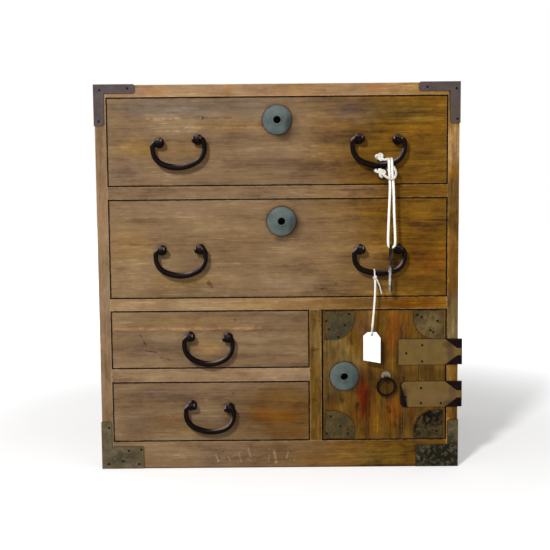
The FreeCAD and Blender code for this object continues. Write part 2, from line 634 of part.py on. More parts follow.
def key_oval(radius):
    """A long oval plate, square to X, as high as the key's bow."""
    turns = [math.pi * i / KEY_STEPS for i in range(KEY_STEPS + 1)]
    x, half = KEY_X - KEY_THICK / 2, KEY_BOW_W / 2
    low, high = KEY_BOW_END + half, KEY_BOW_TOP - half
    top = [V(x, LOOP_Y + radius * math.cos(t), high + radius * math.sin(t)) for t in turns]
    foot = [V(x, LOOP_Y - radius * math.cos(t), low - radius * math.sin(t)) for t in turns]
    return prism(top + foot, X_AXIS * KEY_THICK)


def key():
    """Iron key, seen edge on: a long oval bow of flat strip, a pipe shaft and one bit."""
    bow = key_oval(KEY_BOW_W / 2).cut([key_oval(KEY_BOW_W / 2 - KEY_STRIP)])
    shaft = bar(KEY_SHAFT_R, V(KEY_X, LOOP_Y, KEY_TIP), V(KEY_X, LOOP_Y, KEY_BOW_END + KEY_STRIP))
    pipe = bar(KEY_PIPE_R, V(KEY_X, LOOP_Y, KEY_TIP), V(KEY_X, LOOP_Y, KEY_TIP + KEY_PIPE_DEEP))
    reach, tall, thick, slot = KEY_BIT
    foot = KEY_TIP + KEY_BIT_UP
    bit = box(KEY_X, KEY_X + reach, LOOP_Y - thick / 2, LOOP_Y + thick / 2, foot, foot + tall)
    cut = KEY_X + reach / 2
    notch = box(cut, cut + slot, LOOP_Y - thick, LOOP_Y + thick, foot, foot + tall / 2)
    return joined([bow, shaft, bit]).cut([pipe, notch])


def knot_block(centre):
    """A pulled-tight knot: a short barrel of cord."""
    return skin([section(centre + X_AXIS * along, X_AXIS, radius, KNOT_SIDES) for along, radius in KNOT])


def key_cord():
    """The doubled cord that the key hangs on, with its collar and lower knot."""
    y = LOOP_Y
    top = bar_centre("handle_1_right", sum(CORD_X) / 2)
    left, right = CORD_X
    route = [(left, 0), (left + 1.4, 24), (left - 0.1, 61), (left - 0.8, 82), (left - 1.2, 95),
             (left - 0.4, 100.4), (left + 3.0, 102.4), (right + 3.5, 100.1), (right + 4.2, 94.5),
             (right + 3.8, 82), (right + 2.8, 61), (right + 1.8, 24), (right, 0)]
    loop = [V(x, y, top - below) for x, below in route]
    knot_at = V(127.1, y - 1, top - 10.0)
    collar = [knot_at, V(133, y - 2.6, knot_at.z - 4.5), V(138.6, y - 3.3, knot_at.z - 7.8),
              V(145.0, y - 1.5, knot_at.z - 6), V(147.0, y + 1.2, knot_at.z - 0.5),
              V(143.4, y + 1.4, knot_at.z + 5.5)]
    knot = knot_block(knot_at)
    tail = tube([knot_at, V(121.5, y - 1.4, knot_at.z + 1.0), V(118.0, y - 1.2, knot_at.z + 4.2)], CORD_R)
    return joined([tube(loop, CORD_R), tube(collar, CORD_R), knot, tail])


def cord_turns():
    """The cord's turns over the bar, and the upper knot."""
    bar_y = FRONT - PIVOT_OUT
    top = bar_centre("handle_1_right", sum(CORD_X) / 2)
    turns = []
    for x in CORD_X:
        centre = V(x, bar_y, bar_centre("handle_1_right", x))
        strand = section(centre + Z_AXIS * CORD_TURN_R, Y_AXIS, CORD_R, KNOT_SIDES)
        turns.append(turned(strand, centre, X_AXIS, CORD_TURN_STEPS, *CORD_TURN))
    knot = knot_block(V(125.9, bar_y - 2, top + 8.4))
    return turns + [knot]


def tag():
    """Blank card tag with clipped top corners and a punched hole."""
    left, right = TAG_X - TAG_W / 2, TAG_X + TAG_W / 2
    low = TAG_TOP - TAG_H
    y = TAG_Y + TAG_T / 2
    shape = [V(left, y, low + TAG_SLANT), V(right, y, low), V(right, y, TAG_TOP - TAG_CLIP_RIGHT),
             V(right - TAG_CLIP, y, TAG_TOP), V(left + TAG_CLIP, y, TAG_TOP),
             V(left, y, TAG_TOP - TAG_CLIP_LEFT)]
    card = prism(shape, V(0, -TAG_T, 0))
    hole_z = TAG_TOP - TAG_HOLE_DROP
    return card.cut([rod(TAG_HOLE_R, V(TAG_X, y + 1, hole_z), V(TAG_X, y - 1 - TAG_T, hole_z))])


def tag_string():
    """String tied round the bail's bar, with a loose end, and looped through the tag."""
    y, x = TAG_Y, STRING_X
    top = bar_centre("handle_2_right", x)
    ring = turned(section(V(x, y, top), Z_AXIS, STRING_R, 6), V(x, FRONT - PIVOT_OUT, top), X_AXIS, 16)
    hang = [V(x, y, top - 1), V(x + 0.4, y, top - 24), V(x - 1.2, y, top - 44), V(TAG_X, y, TAG_TOP + 2.4)]
    fall = tube(hang, STRING_R)
    loose = tube([V(x + 0.6, y - 0.3, top - 2), V(x + 3.5, y - 0.6, top - 8), V(x + 6.6, y - 0.4, top - 15),
                  V(x + 8.6, y - 0.2, top - 25)], STRING_R)
    eye = V(TAG_X, y, TAG_TOP - TAG_HOLE_DROP + STRING_EYE_R)
    loop = turned(section(eye + Z_AXIS * STRING_EYE_R, Y_AXIS, 0.75 * STRING_R, 6), eye, X_AXIS, 12)
    return joined([ring, fall, loose, loop])


def hanging_things():
    save("key", key())
    save("key_cord", key_cord())
    save("key_cord_turns", *cord_turns())
    save("price_tag", tag())
    save("tag_string", tag_string())


NODES = {}
os.makedirs("parts", exist_ok=True)
carcass()
locks()
all_pins = handles()
for drawer_name in DRAWERS:
    drawer(drawer_name, all_pins[drawer_name])
door()
hinges()
corner_irons()
hanging_things()
print(len(NODES), "nodes")
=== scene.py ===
from math import asin, atan2, cos, pi, radians, sin

import bmesh
import bpy
from mathutils import Matrix, Vector
from mathutils.bvhtree import BVHTree


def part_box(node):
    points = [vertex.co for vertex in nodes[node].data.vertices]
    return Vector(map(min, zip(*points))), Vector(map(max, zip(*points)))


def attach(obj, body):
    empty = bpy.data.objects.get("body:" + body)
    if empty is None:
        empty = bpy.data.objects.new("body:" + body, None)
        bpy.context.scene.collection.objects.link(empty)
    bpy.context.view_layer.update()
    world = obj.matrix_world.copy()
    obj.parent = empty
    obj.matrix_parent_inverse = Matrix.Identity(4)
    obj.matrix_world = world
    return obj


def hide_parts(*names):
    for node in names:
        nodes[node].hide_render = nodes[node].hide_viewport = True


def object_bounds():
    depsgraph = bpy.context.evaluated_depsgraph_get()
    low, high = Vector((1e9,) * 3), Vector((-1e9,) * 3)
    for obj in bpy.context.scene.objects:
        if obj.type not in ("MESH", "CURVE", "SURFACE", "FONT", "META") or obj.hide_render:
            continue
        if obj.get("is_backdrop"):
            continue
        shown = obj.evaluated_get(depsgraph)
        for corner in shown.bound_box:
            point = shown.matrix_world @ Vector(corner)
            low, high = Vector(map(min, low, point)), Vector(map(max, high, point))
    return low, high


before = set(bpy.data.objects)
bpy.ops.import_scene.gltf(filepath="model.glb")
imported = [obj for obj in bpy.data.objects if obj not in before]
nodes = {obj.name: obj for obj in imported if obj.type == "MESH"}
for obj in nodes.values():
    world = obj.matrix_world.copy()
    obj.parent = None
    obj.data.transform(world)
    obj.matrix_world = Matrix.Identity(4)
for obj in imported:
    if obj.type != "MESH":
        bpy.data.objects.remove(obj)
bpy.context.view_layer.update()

MM = 0.001
FRONT = -0.143  # plane of the drawer fronts


# ---- The wooden case ----
# Softwood boards: two sides finger-jointed to the top, front rails tenoned into the sides,
# and thin shelves and a back panel let into grooves. Oiled once, and bleached on the left by light.

WHITE, ORIGIN = (1.0, 1.0, 1.0, 1.0), (0.0, 0.0, 0.0)
SAMPLES = 6  # of each Bevel and Ambient Occlusion node


def paint(red, green, blue):
    """A screen's colour, turned into the linear one that a shader takes."""
    return tuple((c / 255 / 12.92 if c <= 10 else ((c / 255 + 0.055) / 1.055) ** 2.4)
                 for c in (red, green, blue)) + (1.0,)


def fill(tree, inputs, takes):
    """Gives each input its value, or joins it to another node's output."""
    for key, value in takes.items():
        if isinstance(value, bpy.types.NodeSocket):
            tree.links.new(value, inputs[key])
        else:
            inputs[key].default_value = value


def add(tree, kind, takes=(), **settings):
    """Puts a node in a tree, with its settings and what its inputs take."""
    made = tree.nodes.new("ShaderNode" + kind)
    for key, value in settings.items():
        setattr(made, key, value)
    fill(tree, made.inputs, dict(takes))
    return made


def sums(tree, operation, first, second=0.0, clamp=False):
    """The output of a Math node."""
    return add(tree, "Math", {0: first, 1: second}, operation=operation, use_clamp=clamp).outputs[0]


def times(tree, first, second):
    return sums(tree, "MULTIPLY", first, second)


def plus(tree, first, second):
    return sums(tree, "ADD", first, second)


def minus(tree, first, second):
    return sums(tree, "SUBTRACT", first, second)


def vectors(tree, operation, first, second=ORIGIN, out=0):
    """The output of a Vector Math node: its Value where the result is a number."""
    return add(tree, "VectorMath", {0: first, 1: second}, operation=operation).outputs[out]


def mixed(tree, share, one, other, blend="MIX"):
    """A colour between two."""
    return add(tree, "Mix", {0: share, 6: one, 7: other}, data_type="RGBA", blend_type=blend).outputs[2]


def tinted(tree, colour, tint):
    """A colour times a tint, which is a tuple of three factors."""
    return mixed(tree, 1.0, colour, tint + (1.0,), "MULTIPLY")


def step(tree, value, low, high, start=0.0, end=1.0):
    """A value carried smoothly from one range to another."""
    limits = {"Value": value, "From Min": low, "From Max": high, "To Min": start, "To Max": end}
    return add(tree, "MapRange", limits, interpolation_type="SMOOTHSTEP").outputs[0]


def stretched(tree, vector, by):
    """Coordinates scaled along each axis."""
    return add(tree, "Mapping", {"Vector": vector, "Scale": by}).outputs[0]


def cloud(tree, vector, scale=1.0, detail=3.0, rough=0.55, twist=0.0):
    """The value of a noise."""
    return add(tree, "TexNoise", {"Vector": vector, "Scale": scale, "Detail": detail, "Roughness": rough,
                                  "Distortion": twist}).outputs[0]


def effect(name, gives, **takes):
    """A group of nodes for several finishes: its tree, what goes in and what comes out."""
    tree = bpy.data.node_groups.new(name, "ShaderNodeTree")
    for key, value in takes.items():
        kind = "Float" if isinstance(value, float) else "Vector" if len(value) == 3 else "Color"
        socket = tree.interface.new_socket(name=key, in_out="INPUT", socket_type="NodeSocket" + kind)
        socket.default_value = value
    for key, kind in gives.items():
        tree.interface.new_socket(name=key, in_out="OUTPUT", socket_type="NodeSocket" + kind)
    return tree, tree.nodes.new("NodeGroupInput").outputs, tree.nodes.new("NodeGroupOutput").inputs


# Soft growth bands and blotches along X, fine fibres over them, short pale scratches and dark flecks.
grain_tree, grain_in, grain_out = effect(
    "wood_grain", {"Color": "Color", "Height": "Float", "Roughness": "Float"}, Vector=ORIGIN,
    Pale=WHITE, Brown=WHITE, Dark=WHITE, Worn=WHITE, Scratches=0.5, Flecks=0.5)
t = grain_tree


def grained(along, across, **settings):
    """A noise with its own scales along and across the grain."""
    return cloud(t, stretched(t, grain_in["Vector"], (along, across, across)), **settings)


bands = grained(3, 66, rough=0.6, twist=0.3)
fibres = grained(20, 420, detail=4, rough=0.7)
patches = grained(12, 32, detail=4, rough=0.6, twist=0.4)
mottle = grained(90, 210, rough=0.65)
tone = 0.0
for layer, share in ((bands, 0.24), (fibres, 0.24), (patches, 0.38), (mottle, 0.18)):
    tone = plus(t, tone, times(t, layer, share))
colour = mixed(t, step(t, tone, 0.4, 0.54), grain_in["Dark"], grain_in["Brown"])
colour = mixed(t, step(t, tone, 0.52, 0.64), colour, grain_in["Pale"])
hairs = step(t, grained(38, 760, detail=2, rough=0.5), 0.62, 0.69)
hairs = times(t, hairs, step(t, patches, 0.46, 0.62))
hairs = times(t, hairs, grain_in["Scratches"])
colour = mixed(t, times(t, hairs, 0.5), colour, grain_in["Worn"])
spots = stretched(t, grain_in["Vector"], (42, 60, 60))
spots = add(t, "TexVoronoi", {"Vector": spots, "Scale": 1.0}).outputs[0]
spots = times(t, step(t, spots, 0.13, 0.06), step(t, patches, 0.46, 0.38))
spots = times(t, spots, grain_in["Flecks"])
colour = mixed(t, spots, colour, paint(48, 30, 18))
height = minus(t, fibres, times(t, plus(t, hairs, spots), 0.5))
fill(t, grain_out, {"Color": colour, "Height": height, "Roughness": step(t, fibres, 0.3, 0.7, 0.66, 0.52)})

# A patch of another tone with a ragged rim, round a place in the chest.
stain_tree, stain_in, stain_out = effect(
    "soft_patch", {"Mask": "Float"}, Vector=ORIGIN, Centre=ORIGIN, Size=(1.0, 1.0, 1.0), Ragged=0.5)
t = stain_tree
away = vectors(t, "SUBTRACT", stain_in["Vector"], stain_in["Centre"])
away = vectors(t, "LENGTH", vectors(t, "DIVIDE", away, stain_in["Size"]), out="Value")
ragged = cloud(t, stretched(t, stain_in["Vector"], (30, 30, 30)), detail=4)
ragged = times(t, minus(t, ragged, 0.5), stain_in["Ragged"])
fill(t, stain_out, {"Mask": step(t, plus(t, away, times(t, ragged, 2.2)), 1.0, 0.25)})

# A scored line, or a rubbed ridge, between two places on the front.
line_tree, line_in, line_out = effect(
    "scored_line", {"Mask": "Float"}, Vector=ORIGIN, Start=ORIGIN, Span=(1.0, 0.0, 0.0), Width=0.001)
t = line_tree
shaken = add(t, "TexNoise", {"Vector": line_in["Vector"], "Scale": 60.0}).outputs[1]
shaken = vectors(t, "MULTIPLY", vectors(t, "SUBTRACT", shaken, (0.5, 0.5, 0.5)), (0.004, 0.004, 0.004))
away = vectors(t, "ADD", vectors(t, "SUBTRACT", line_in["Vector"], line_in["Start"]), shaken)
away = vectors(t, "MULTIPLY", away, (1.0, 0.0, 1.0))
along = vectors(t, "DOT_PRODUCT", away, line_in["Span"], "Value")
whole = vectors(t, "DOT_PRODUCT", line_in["Span"], line_in["Span"], "Value")
along = sums(t, "DIVIDE", along, whole, clamp=True)
away = vectors(t, "DISTANCE", away, vectors(t, "MULTIPLY", line_in["Span"], along), "Value")
near = step(t, sums(t, "DIVIDE", away, line_in["Width"]), 1.0, 0.3)
fill(t, line_out, {"Mask": times(t, near, step(t, cloud(t, line_in["Vector"], 150), 0.34, 0.56))})

# Wear along edges: where the surface turns within a small radius, broken up by a fine cloud.
wear_tree, wear_in, wear_out = effect("rubbed_edges", {"Mask": "Float"}, Vector=ORIGIN, Radius=0.0012)
t = wear_tree
bend = add(t, "Bevel", {"Radius": wear_in["Radius"]}, samples=SAMPLES).outputs[0]
bend = vectors(t, "DOT_PRODUCT", bend, add(t, "NewGeometry").outputs["True Normal"], "Value")
bend = step(t, minus(t, 1.0, bend), 0.01, 0.16)
fill(t, wear_out, {"Mask": times(t, bend, step(t, cloud(t, wear_in["Vector"], 190, 4), 0.36, 0.6))})


def use(tree, group, **values):
    """One of the groups placed in a finish."""
    return add(tree, "Group", values, node_tree=group).outputs


def stain(tree, here, x, z, wide, high, ragged, depth=1.0):
    """The mask of a soft patch about a place on the front, in millimetres but for its depth."""
    return use(tree, stain_tree, Vector=here, Centre=(x * MM, FRONT, z * MM), Ragged=ragged,
               Size=(wide * MM, depth, high * MM))["Mask"]


def finish_of(name):
    """A new material: its tree, its shader's inputs and the chest's own coordinates."""
    material = bpy.data.materials.new(name)
    material.use_nodes = True
    tree = material.node_tree
    return material, tree, tree.nodes["Principled BSDF"].inputs, add(tree, "TexCoord").outputs["Object"]


def relief(tree, height, depth, strength):
    """The normal of a surface that rises by a depth, in metres, where a height rises by 1."""
    return add(tree, "Bump", {"Height": height, "Distance": depth, "Strength": strength}).outputs[0]


ALONG = {"x": ORIGIN, "y": (0.0, 0.0, -pi / 2), "z": (0.0, pi / 2, 0.0)}
BLEACHED = (paint(131, 108, 79), paint(115, 91, 65), paint(91, 69, 48), paint(184, 158, 122))
OILED = (paint(132, 95, 25), paint(100, 67, 12), paint(56, 34, 6), paint(166, 122, 60))
# The first colour darkens a front's rim where it meets the gap: painted shade of the gap, with the dirt that
# gathers there.
# The second colour tints what ambient occlusion finds hidden: painted shade in creases and between parts.
GAP_SHADE_AND_DIRT, CREASE_SHADE = paint(26, 14, 8), paint(44, 34, 30)[:3]
DRY_GLOSS, ARRIS_RUB, ARRIS_WORN, FIBRE_HEIGHT, CREASE_REACH = 0.06, 0.002, 0.5, 0.0004, 0.003


def timber(name, grain, seed, tint=(1.0, 1.0, 1.0), patches=(), lines=(), warm=(0.0, 0.15), scratches=0.6,
           flecks=0.5, tones=(BLEACHED, OILED), rim_darkened=None, depth=1.0):
    """Old board: the grain's direction, the x between which it turns from bleached to oiled, soft patches
    (x, z, half width, half height, tint, share) and lines (x, z, x, z, width, tint, share), which reach a
    depth behind the front. rim_darkened is the node round whose front the rim is darkened by the gap: painted
    shade of the gap, with the dirt that gathers there."""
    material, tree, shader, here = finish_of(name)
    laid = add(tree, "Mapping", {"Vector": here, "Rotation": ALONG[grain],
                                 "Location": (seed, 0.37 * seed, 0.71 * seed)}).outputs[0]
    grains = [use(tree, grain_tree, Vector=laid, Pale=pale, Brown=brown, Dark=dark, Worn=rubbed,
                  Scratches=scratches, Flecks=flecks) for pale, brown, dark, rubbed in tones]
    place = add(tree, "SeparateXYZ", {0: here}).outputs
    drift = times(tree, minus(tree, cloud(tree, laid, 9), 0.5), 0.14)
    warmth = step(tree, plus(tree, place["X"], drift), *warm)
    colour = mixed(tree, warmth, grains[0]["Color"], grains[1]["Color"])
    for x, z, wide, high, shade, share in patches:
        mask = stain(tree, here, x, z, wide, high, 0.5, depth)
        colour = mixed(tree, times(tree, mask, share), colour, tinted(tree, colour, shade))
    outer = step(tree, place["Y"], FRONT + depth, FRONT + depth / 2)
    for x, z, to_x, to_z, width, shade, share in lines:
        mask = use(tree, line_tree, Vector=here, Start=(x * MM, 0.0, z * MM), Width=width * MM,
                   Span=((to_x - x) * MM, 0.0, (to_z - z) * MM))["Mask"]
        mask = times(tree, mask, outer)
        colour = mixed(tree, times(tree, mask, share), colour, tinted(tree, colour, shade))
    colour = tinted(tree, colour, tint)
    rubbed = use(tree, wear_tree, Vector=here, Radius=ARRIS_RUB)["Mask"]
    colour = mixed(tree, times(tree, rubbed, ARRIS_WORN), colour, tones[0][3])
    # A dark band along the rim of the front: painted shade of the gap, with the dirt that gathers there.
    if rim_darkened:
        low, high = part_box(rim_darkened)
        offsets = [minus(tree, place["XYZ"[i]], (high[i] + low[i]) / 2) for i in (0, 2)]
        inward = [minus(tree, (high[i] - low[i]) / 2, sums(tree, "ABSOLUTE", offset))
                  for i, offset in zip((0, 2), offsets)]
        shake = times(tree, minus(tree, cloud(tree, here, 120), 0.5), 0.0016)
        inward = plus(tree, sums(tree, "MINIMUM", *inward), shake)
        gap_shade_and_dirt = times(tree, step(tree, inward, 0.0015, 0.0006),
                     step(tree, place["Y"], FRONT + 0.004, FRONT + 0.001))
        colour = mixed(tree, times(tree, gap_shade_and_dirt, 0.9), colour, GAP_SHADE_AND_DIRT)
    # Painted shade: ambient occlusion darkens creases and the wood close to other parts.
    hidden = add(tree, "AmbientOcclusion", {"Distance": CREASE_REACH}, samples=SAMPLES).outputs["AO"]
    colour = mixed(tree, step(tree, hidden, 0.5, 0.97), tinted(tree, colour, CREASE_SHADE), colour)
    fibrous = relief(tree, grains[0]["Height"], FIBRE_HEIGHT, 0.5)
    fill(tree, shader, {"Base Color": colour, "Roughness": grains[0]["Roughness"],
                        "Specular IOR Level": DRY_GLOSS, "Normal": fibrous})
    return material


def dressed(name, material):
    """Gives a node of the frame its finish."""
    mesh = nodes[name].data
    mesh.materials.clear()
    mesh.materials.append(material)


def placed_on(made, body):
    """Puts a new object in the scene, on a body."""
    bpy.context.scene.collection.objects.link(made)
    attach(made, body)
    return made


def formed(name, bm, material):
    """A new object of a finished mesh."""
    mesh = bpy.data.meshes.new(name)
    bm.to_mesh(mesh)
    bm.free()
    mesh.materials.append(material)
    return bpy.data.objects.new(name, mesh)


def piece(name, bm, material, body, replaces=(), smooth=40.0):
    """A piece made of a mesh, smooth except over sharp turns, that rides on a body."""
    bmesh.ops.remove_doubles(bm, verts=bm.verts, dist=1e-6)
    bmesh.ops.recalc_face_normals(bm, faces=bm.faces)
    made = placed_on(formed(name, bm, material), body)
    made.data.shade_smooth()
    made.data.set_sharp_from_angle(angle=radians(smooth))
    if replaces:
        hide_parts(*replaces)
    return made


YELLOW, GOLD, ORANGE, REDDISH = (1.12, 1.02, 0.62), (1.15, 1.0, 0.55), (1.25, 0.95, 0.45), (1.15, 0.82, 0.5)
GREYER, PALER, DARKER, BLACKISH = (0.98, 1.02, 1.2), (1.5, 1.48, 1.46), (0.7, 0.66, 0.62), (0.25, 0.22, 0.2)
# The first colour darkens a soft halo centred a little below and right of each lock plate: painted shadow of
# the plate on the wood.
PLATE_SHADOW, BRIGHT = (0.25, 0.2, 0.18), (1.9, 2.2, 2.9)
EDGE = 0.03  # how far the marks on a board's front edge run back over its face
dressed("side_left", timber("wood_side_left", "z", 1.3, (1.3, 1.32, 1.34), [
    (-218, 330, 14, 60, PALER, 0.15), (-218, 215, 14, 40, GREYER, 0.8),
    (-218, 60, 14, 60, DARKER, 0.3)], depth=EDGE))
dressed("side_right", timber("wood_side_right", "z", 2.1, (1.0, 1.0, 1.2), [
    (218, 420, 26, 60, (1.9, 2.2, 5.6), 1.0), (220, 382, 30, 60, (1.35, 1.5, 2.6), 0.9),
    (218, 372, 8, 14, ORANGE, 0.8), (218, 330, 16, 60, (1.0, 1.1, 1.8), 0.8),
    (218, 260, 16, 55, (1.05, 1.0, 1.6), 0.9), (218, 186, 24, 46, (1.14, 1.7, 7.5), 1.0),
    (218, 60, 16, 36, DARKER, 0.7), (216, 118, 18, 18, (1.7, 1.9, 4.0), 0.7),
    (214, 68, 8, 18, (1.9, 2.0, 3.0), 0.7)], [
    (213, 445, 213, 235, 1.6, (1.6, 1.6, 1.8), 0.5),
    (213.4, 60, 213.4, 22, 4.0, (2.6, 2.8, 2.8), 1.0)], depth=EDGE))
dressed("top_board", timber("wood_top", "x", 3.7, (1.62, 1.58, 1.56), [
    (-150, 475, 24, 12, REDDISH, 0.4), (-60, 475, 10, 12, REDDISH, 0.5), (30, 475, 60, 10, GOLD, 0.4),
    (120, 475, 16, 12, REDDISH, 0.5)], warm=(0.03, 0.3), depth=EDGE))
dressed("base_rail", timber("wood_base_rail", "x", 4.9, (1.12, 1.12, 1.12), [
    (-60, 18, 70, 14, GREYER, 0.5), (40, 10, 50, 10, YELLOW, 0.7), (-10, 26, 40, 8, DARKER, 0.4),
    (130, 14, 50, 18, (1.1, 1.35, 2.0), 0.9), (-120, 22, 50, 12, PALER, 0.2),
    (16, 15, 70, 20, (0.82, 0.8, 0.74), 0.8)], [
    (-60, 14, -48, 22, 2.2, PALER, 0.8), (-14, 8, -12, 24, 2.0, PALER, 0.9),
    (-78, 9, -70, 12, 2.0, PALER, 0.8), (18, 20, 40, 21, 1.6, PALER, 0.6),
    (60, 10, 84, 12, 1.5, PALER, 0.5), (100, 24, 128, 22, 1.5, PALER, 0.5),
    (-82, 18, -79, 9, 1.5, BRIGHT, 0.7), (-65, 14, -63, 9, 1.4, BRIGHT, 0.6),
    (-52, 18, -49, 8, 1.6, BRIGHT, 0.7), (-40, 25, -37, 14, 1.4, BRIGHT, 0.6),
    (-42, 11, -37, 9, 1.4, BRIGHT, 0.6), (-8, 22, -5, 7, 2.2, BRIGHT, 1.0),
    (10, 20, 8, 12, 1.6, BRIGHT, 0.7), (12, 10, 19, 9, 1.4, BRIGHT, 0.6),
    (140, 26, 168, 25, 1.6, BRIGHT, 0.5)], warm=(-0.06, 0.16)))
dressed("rail_upper", timber("wood_rail_upper", "x", 5.3, (1.0, 1.0, 1.02), [
    (100, 349, 44, 14, (1.4, 1.45, 2.0), 0.9)]))
dressed("rail_middle", timber("wood_rail_middle", "x", 6.1, (1.32, 1.3, 1.22), [
    (170, 209, 60, 14, (0.8, 0.6, 0.15), 1.0),
    (130, 213, 110, 18, (0.66, 0.64, 0.55), 0.9)], warm=(-0.1, 0.2)))
dressed("rail_lower", timber("wood_rail_lower", "x", 7.7, (1.42, 1.45, 1.5), warm=(0.1, 0.3)))
dressed("divider", timber("wood_divider", "z", 8.3, (0.95, 1.1, 1.9), [
    (51, 162, 16, 62, (1.5, 1.65, 3.6), 1.0), (51, 66, 16, 66, (0.68, 0.6, 0.5), 0.9)], [
    (44, 190, 52, 186, 2.0, BLACKISH, 0.6), (42, 150, 50, 152, 2.0, BLACKISH, 0.6),
    (48, 112, 55, 109, 2.4, BLACKISH, 0.7),
    (42, 88, 50, 85, 2.0, BLACKISH, 0.6)], warm=(-0.2, -0.1), flecks=1.0))

BARE = (paint(176, 148, 108), paint(152, 122, 84), paint(118, 90, 60), paint(205, 180, 140))
inside_x, inside_z, inside_y = (
    timber("wood_inside_" + word, grain, seed, tones=(BARE, BARE), scratches=0.2, flecks=0.2)
    for word, grain, seed in (("wide", "x", 11.0), ("upright", "z", 12.0), ("deep", "y", 13.0)))
for board in ("bottom_board", "dust_board_upper", "dust_board_middle", "dust_board_lower", "door_battens"):
    dressed(board, inside_x)
dressed("door_stop", inside_z)
JOINTS = (-82, 68)  # where the three boards of the back meet
dressed("back_panel", timber("wood_back", "z", 14.0, (1.0, 1.0, 1.0), [
    (-30, 90, 150, 60, DARKER, 0.5)], [
    (x, 8, x, 475, 1.6, BLACKISH, 1.0) for x in JOINTS] + [
    (x, z, x + 0.6, z, 3.2, BLACKISH, 0.9) for z in (12, 455) for x in (-190, -115, -50, 40, 100, 185)],
    tones=(BARE, BARE), scratches=0.3, flecks=0.8))


# ---- The drawers ----
# Each is a thick front board with a rabbet, thin walls glued and pinned into it, and a floor nailed on below.

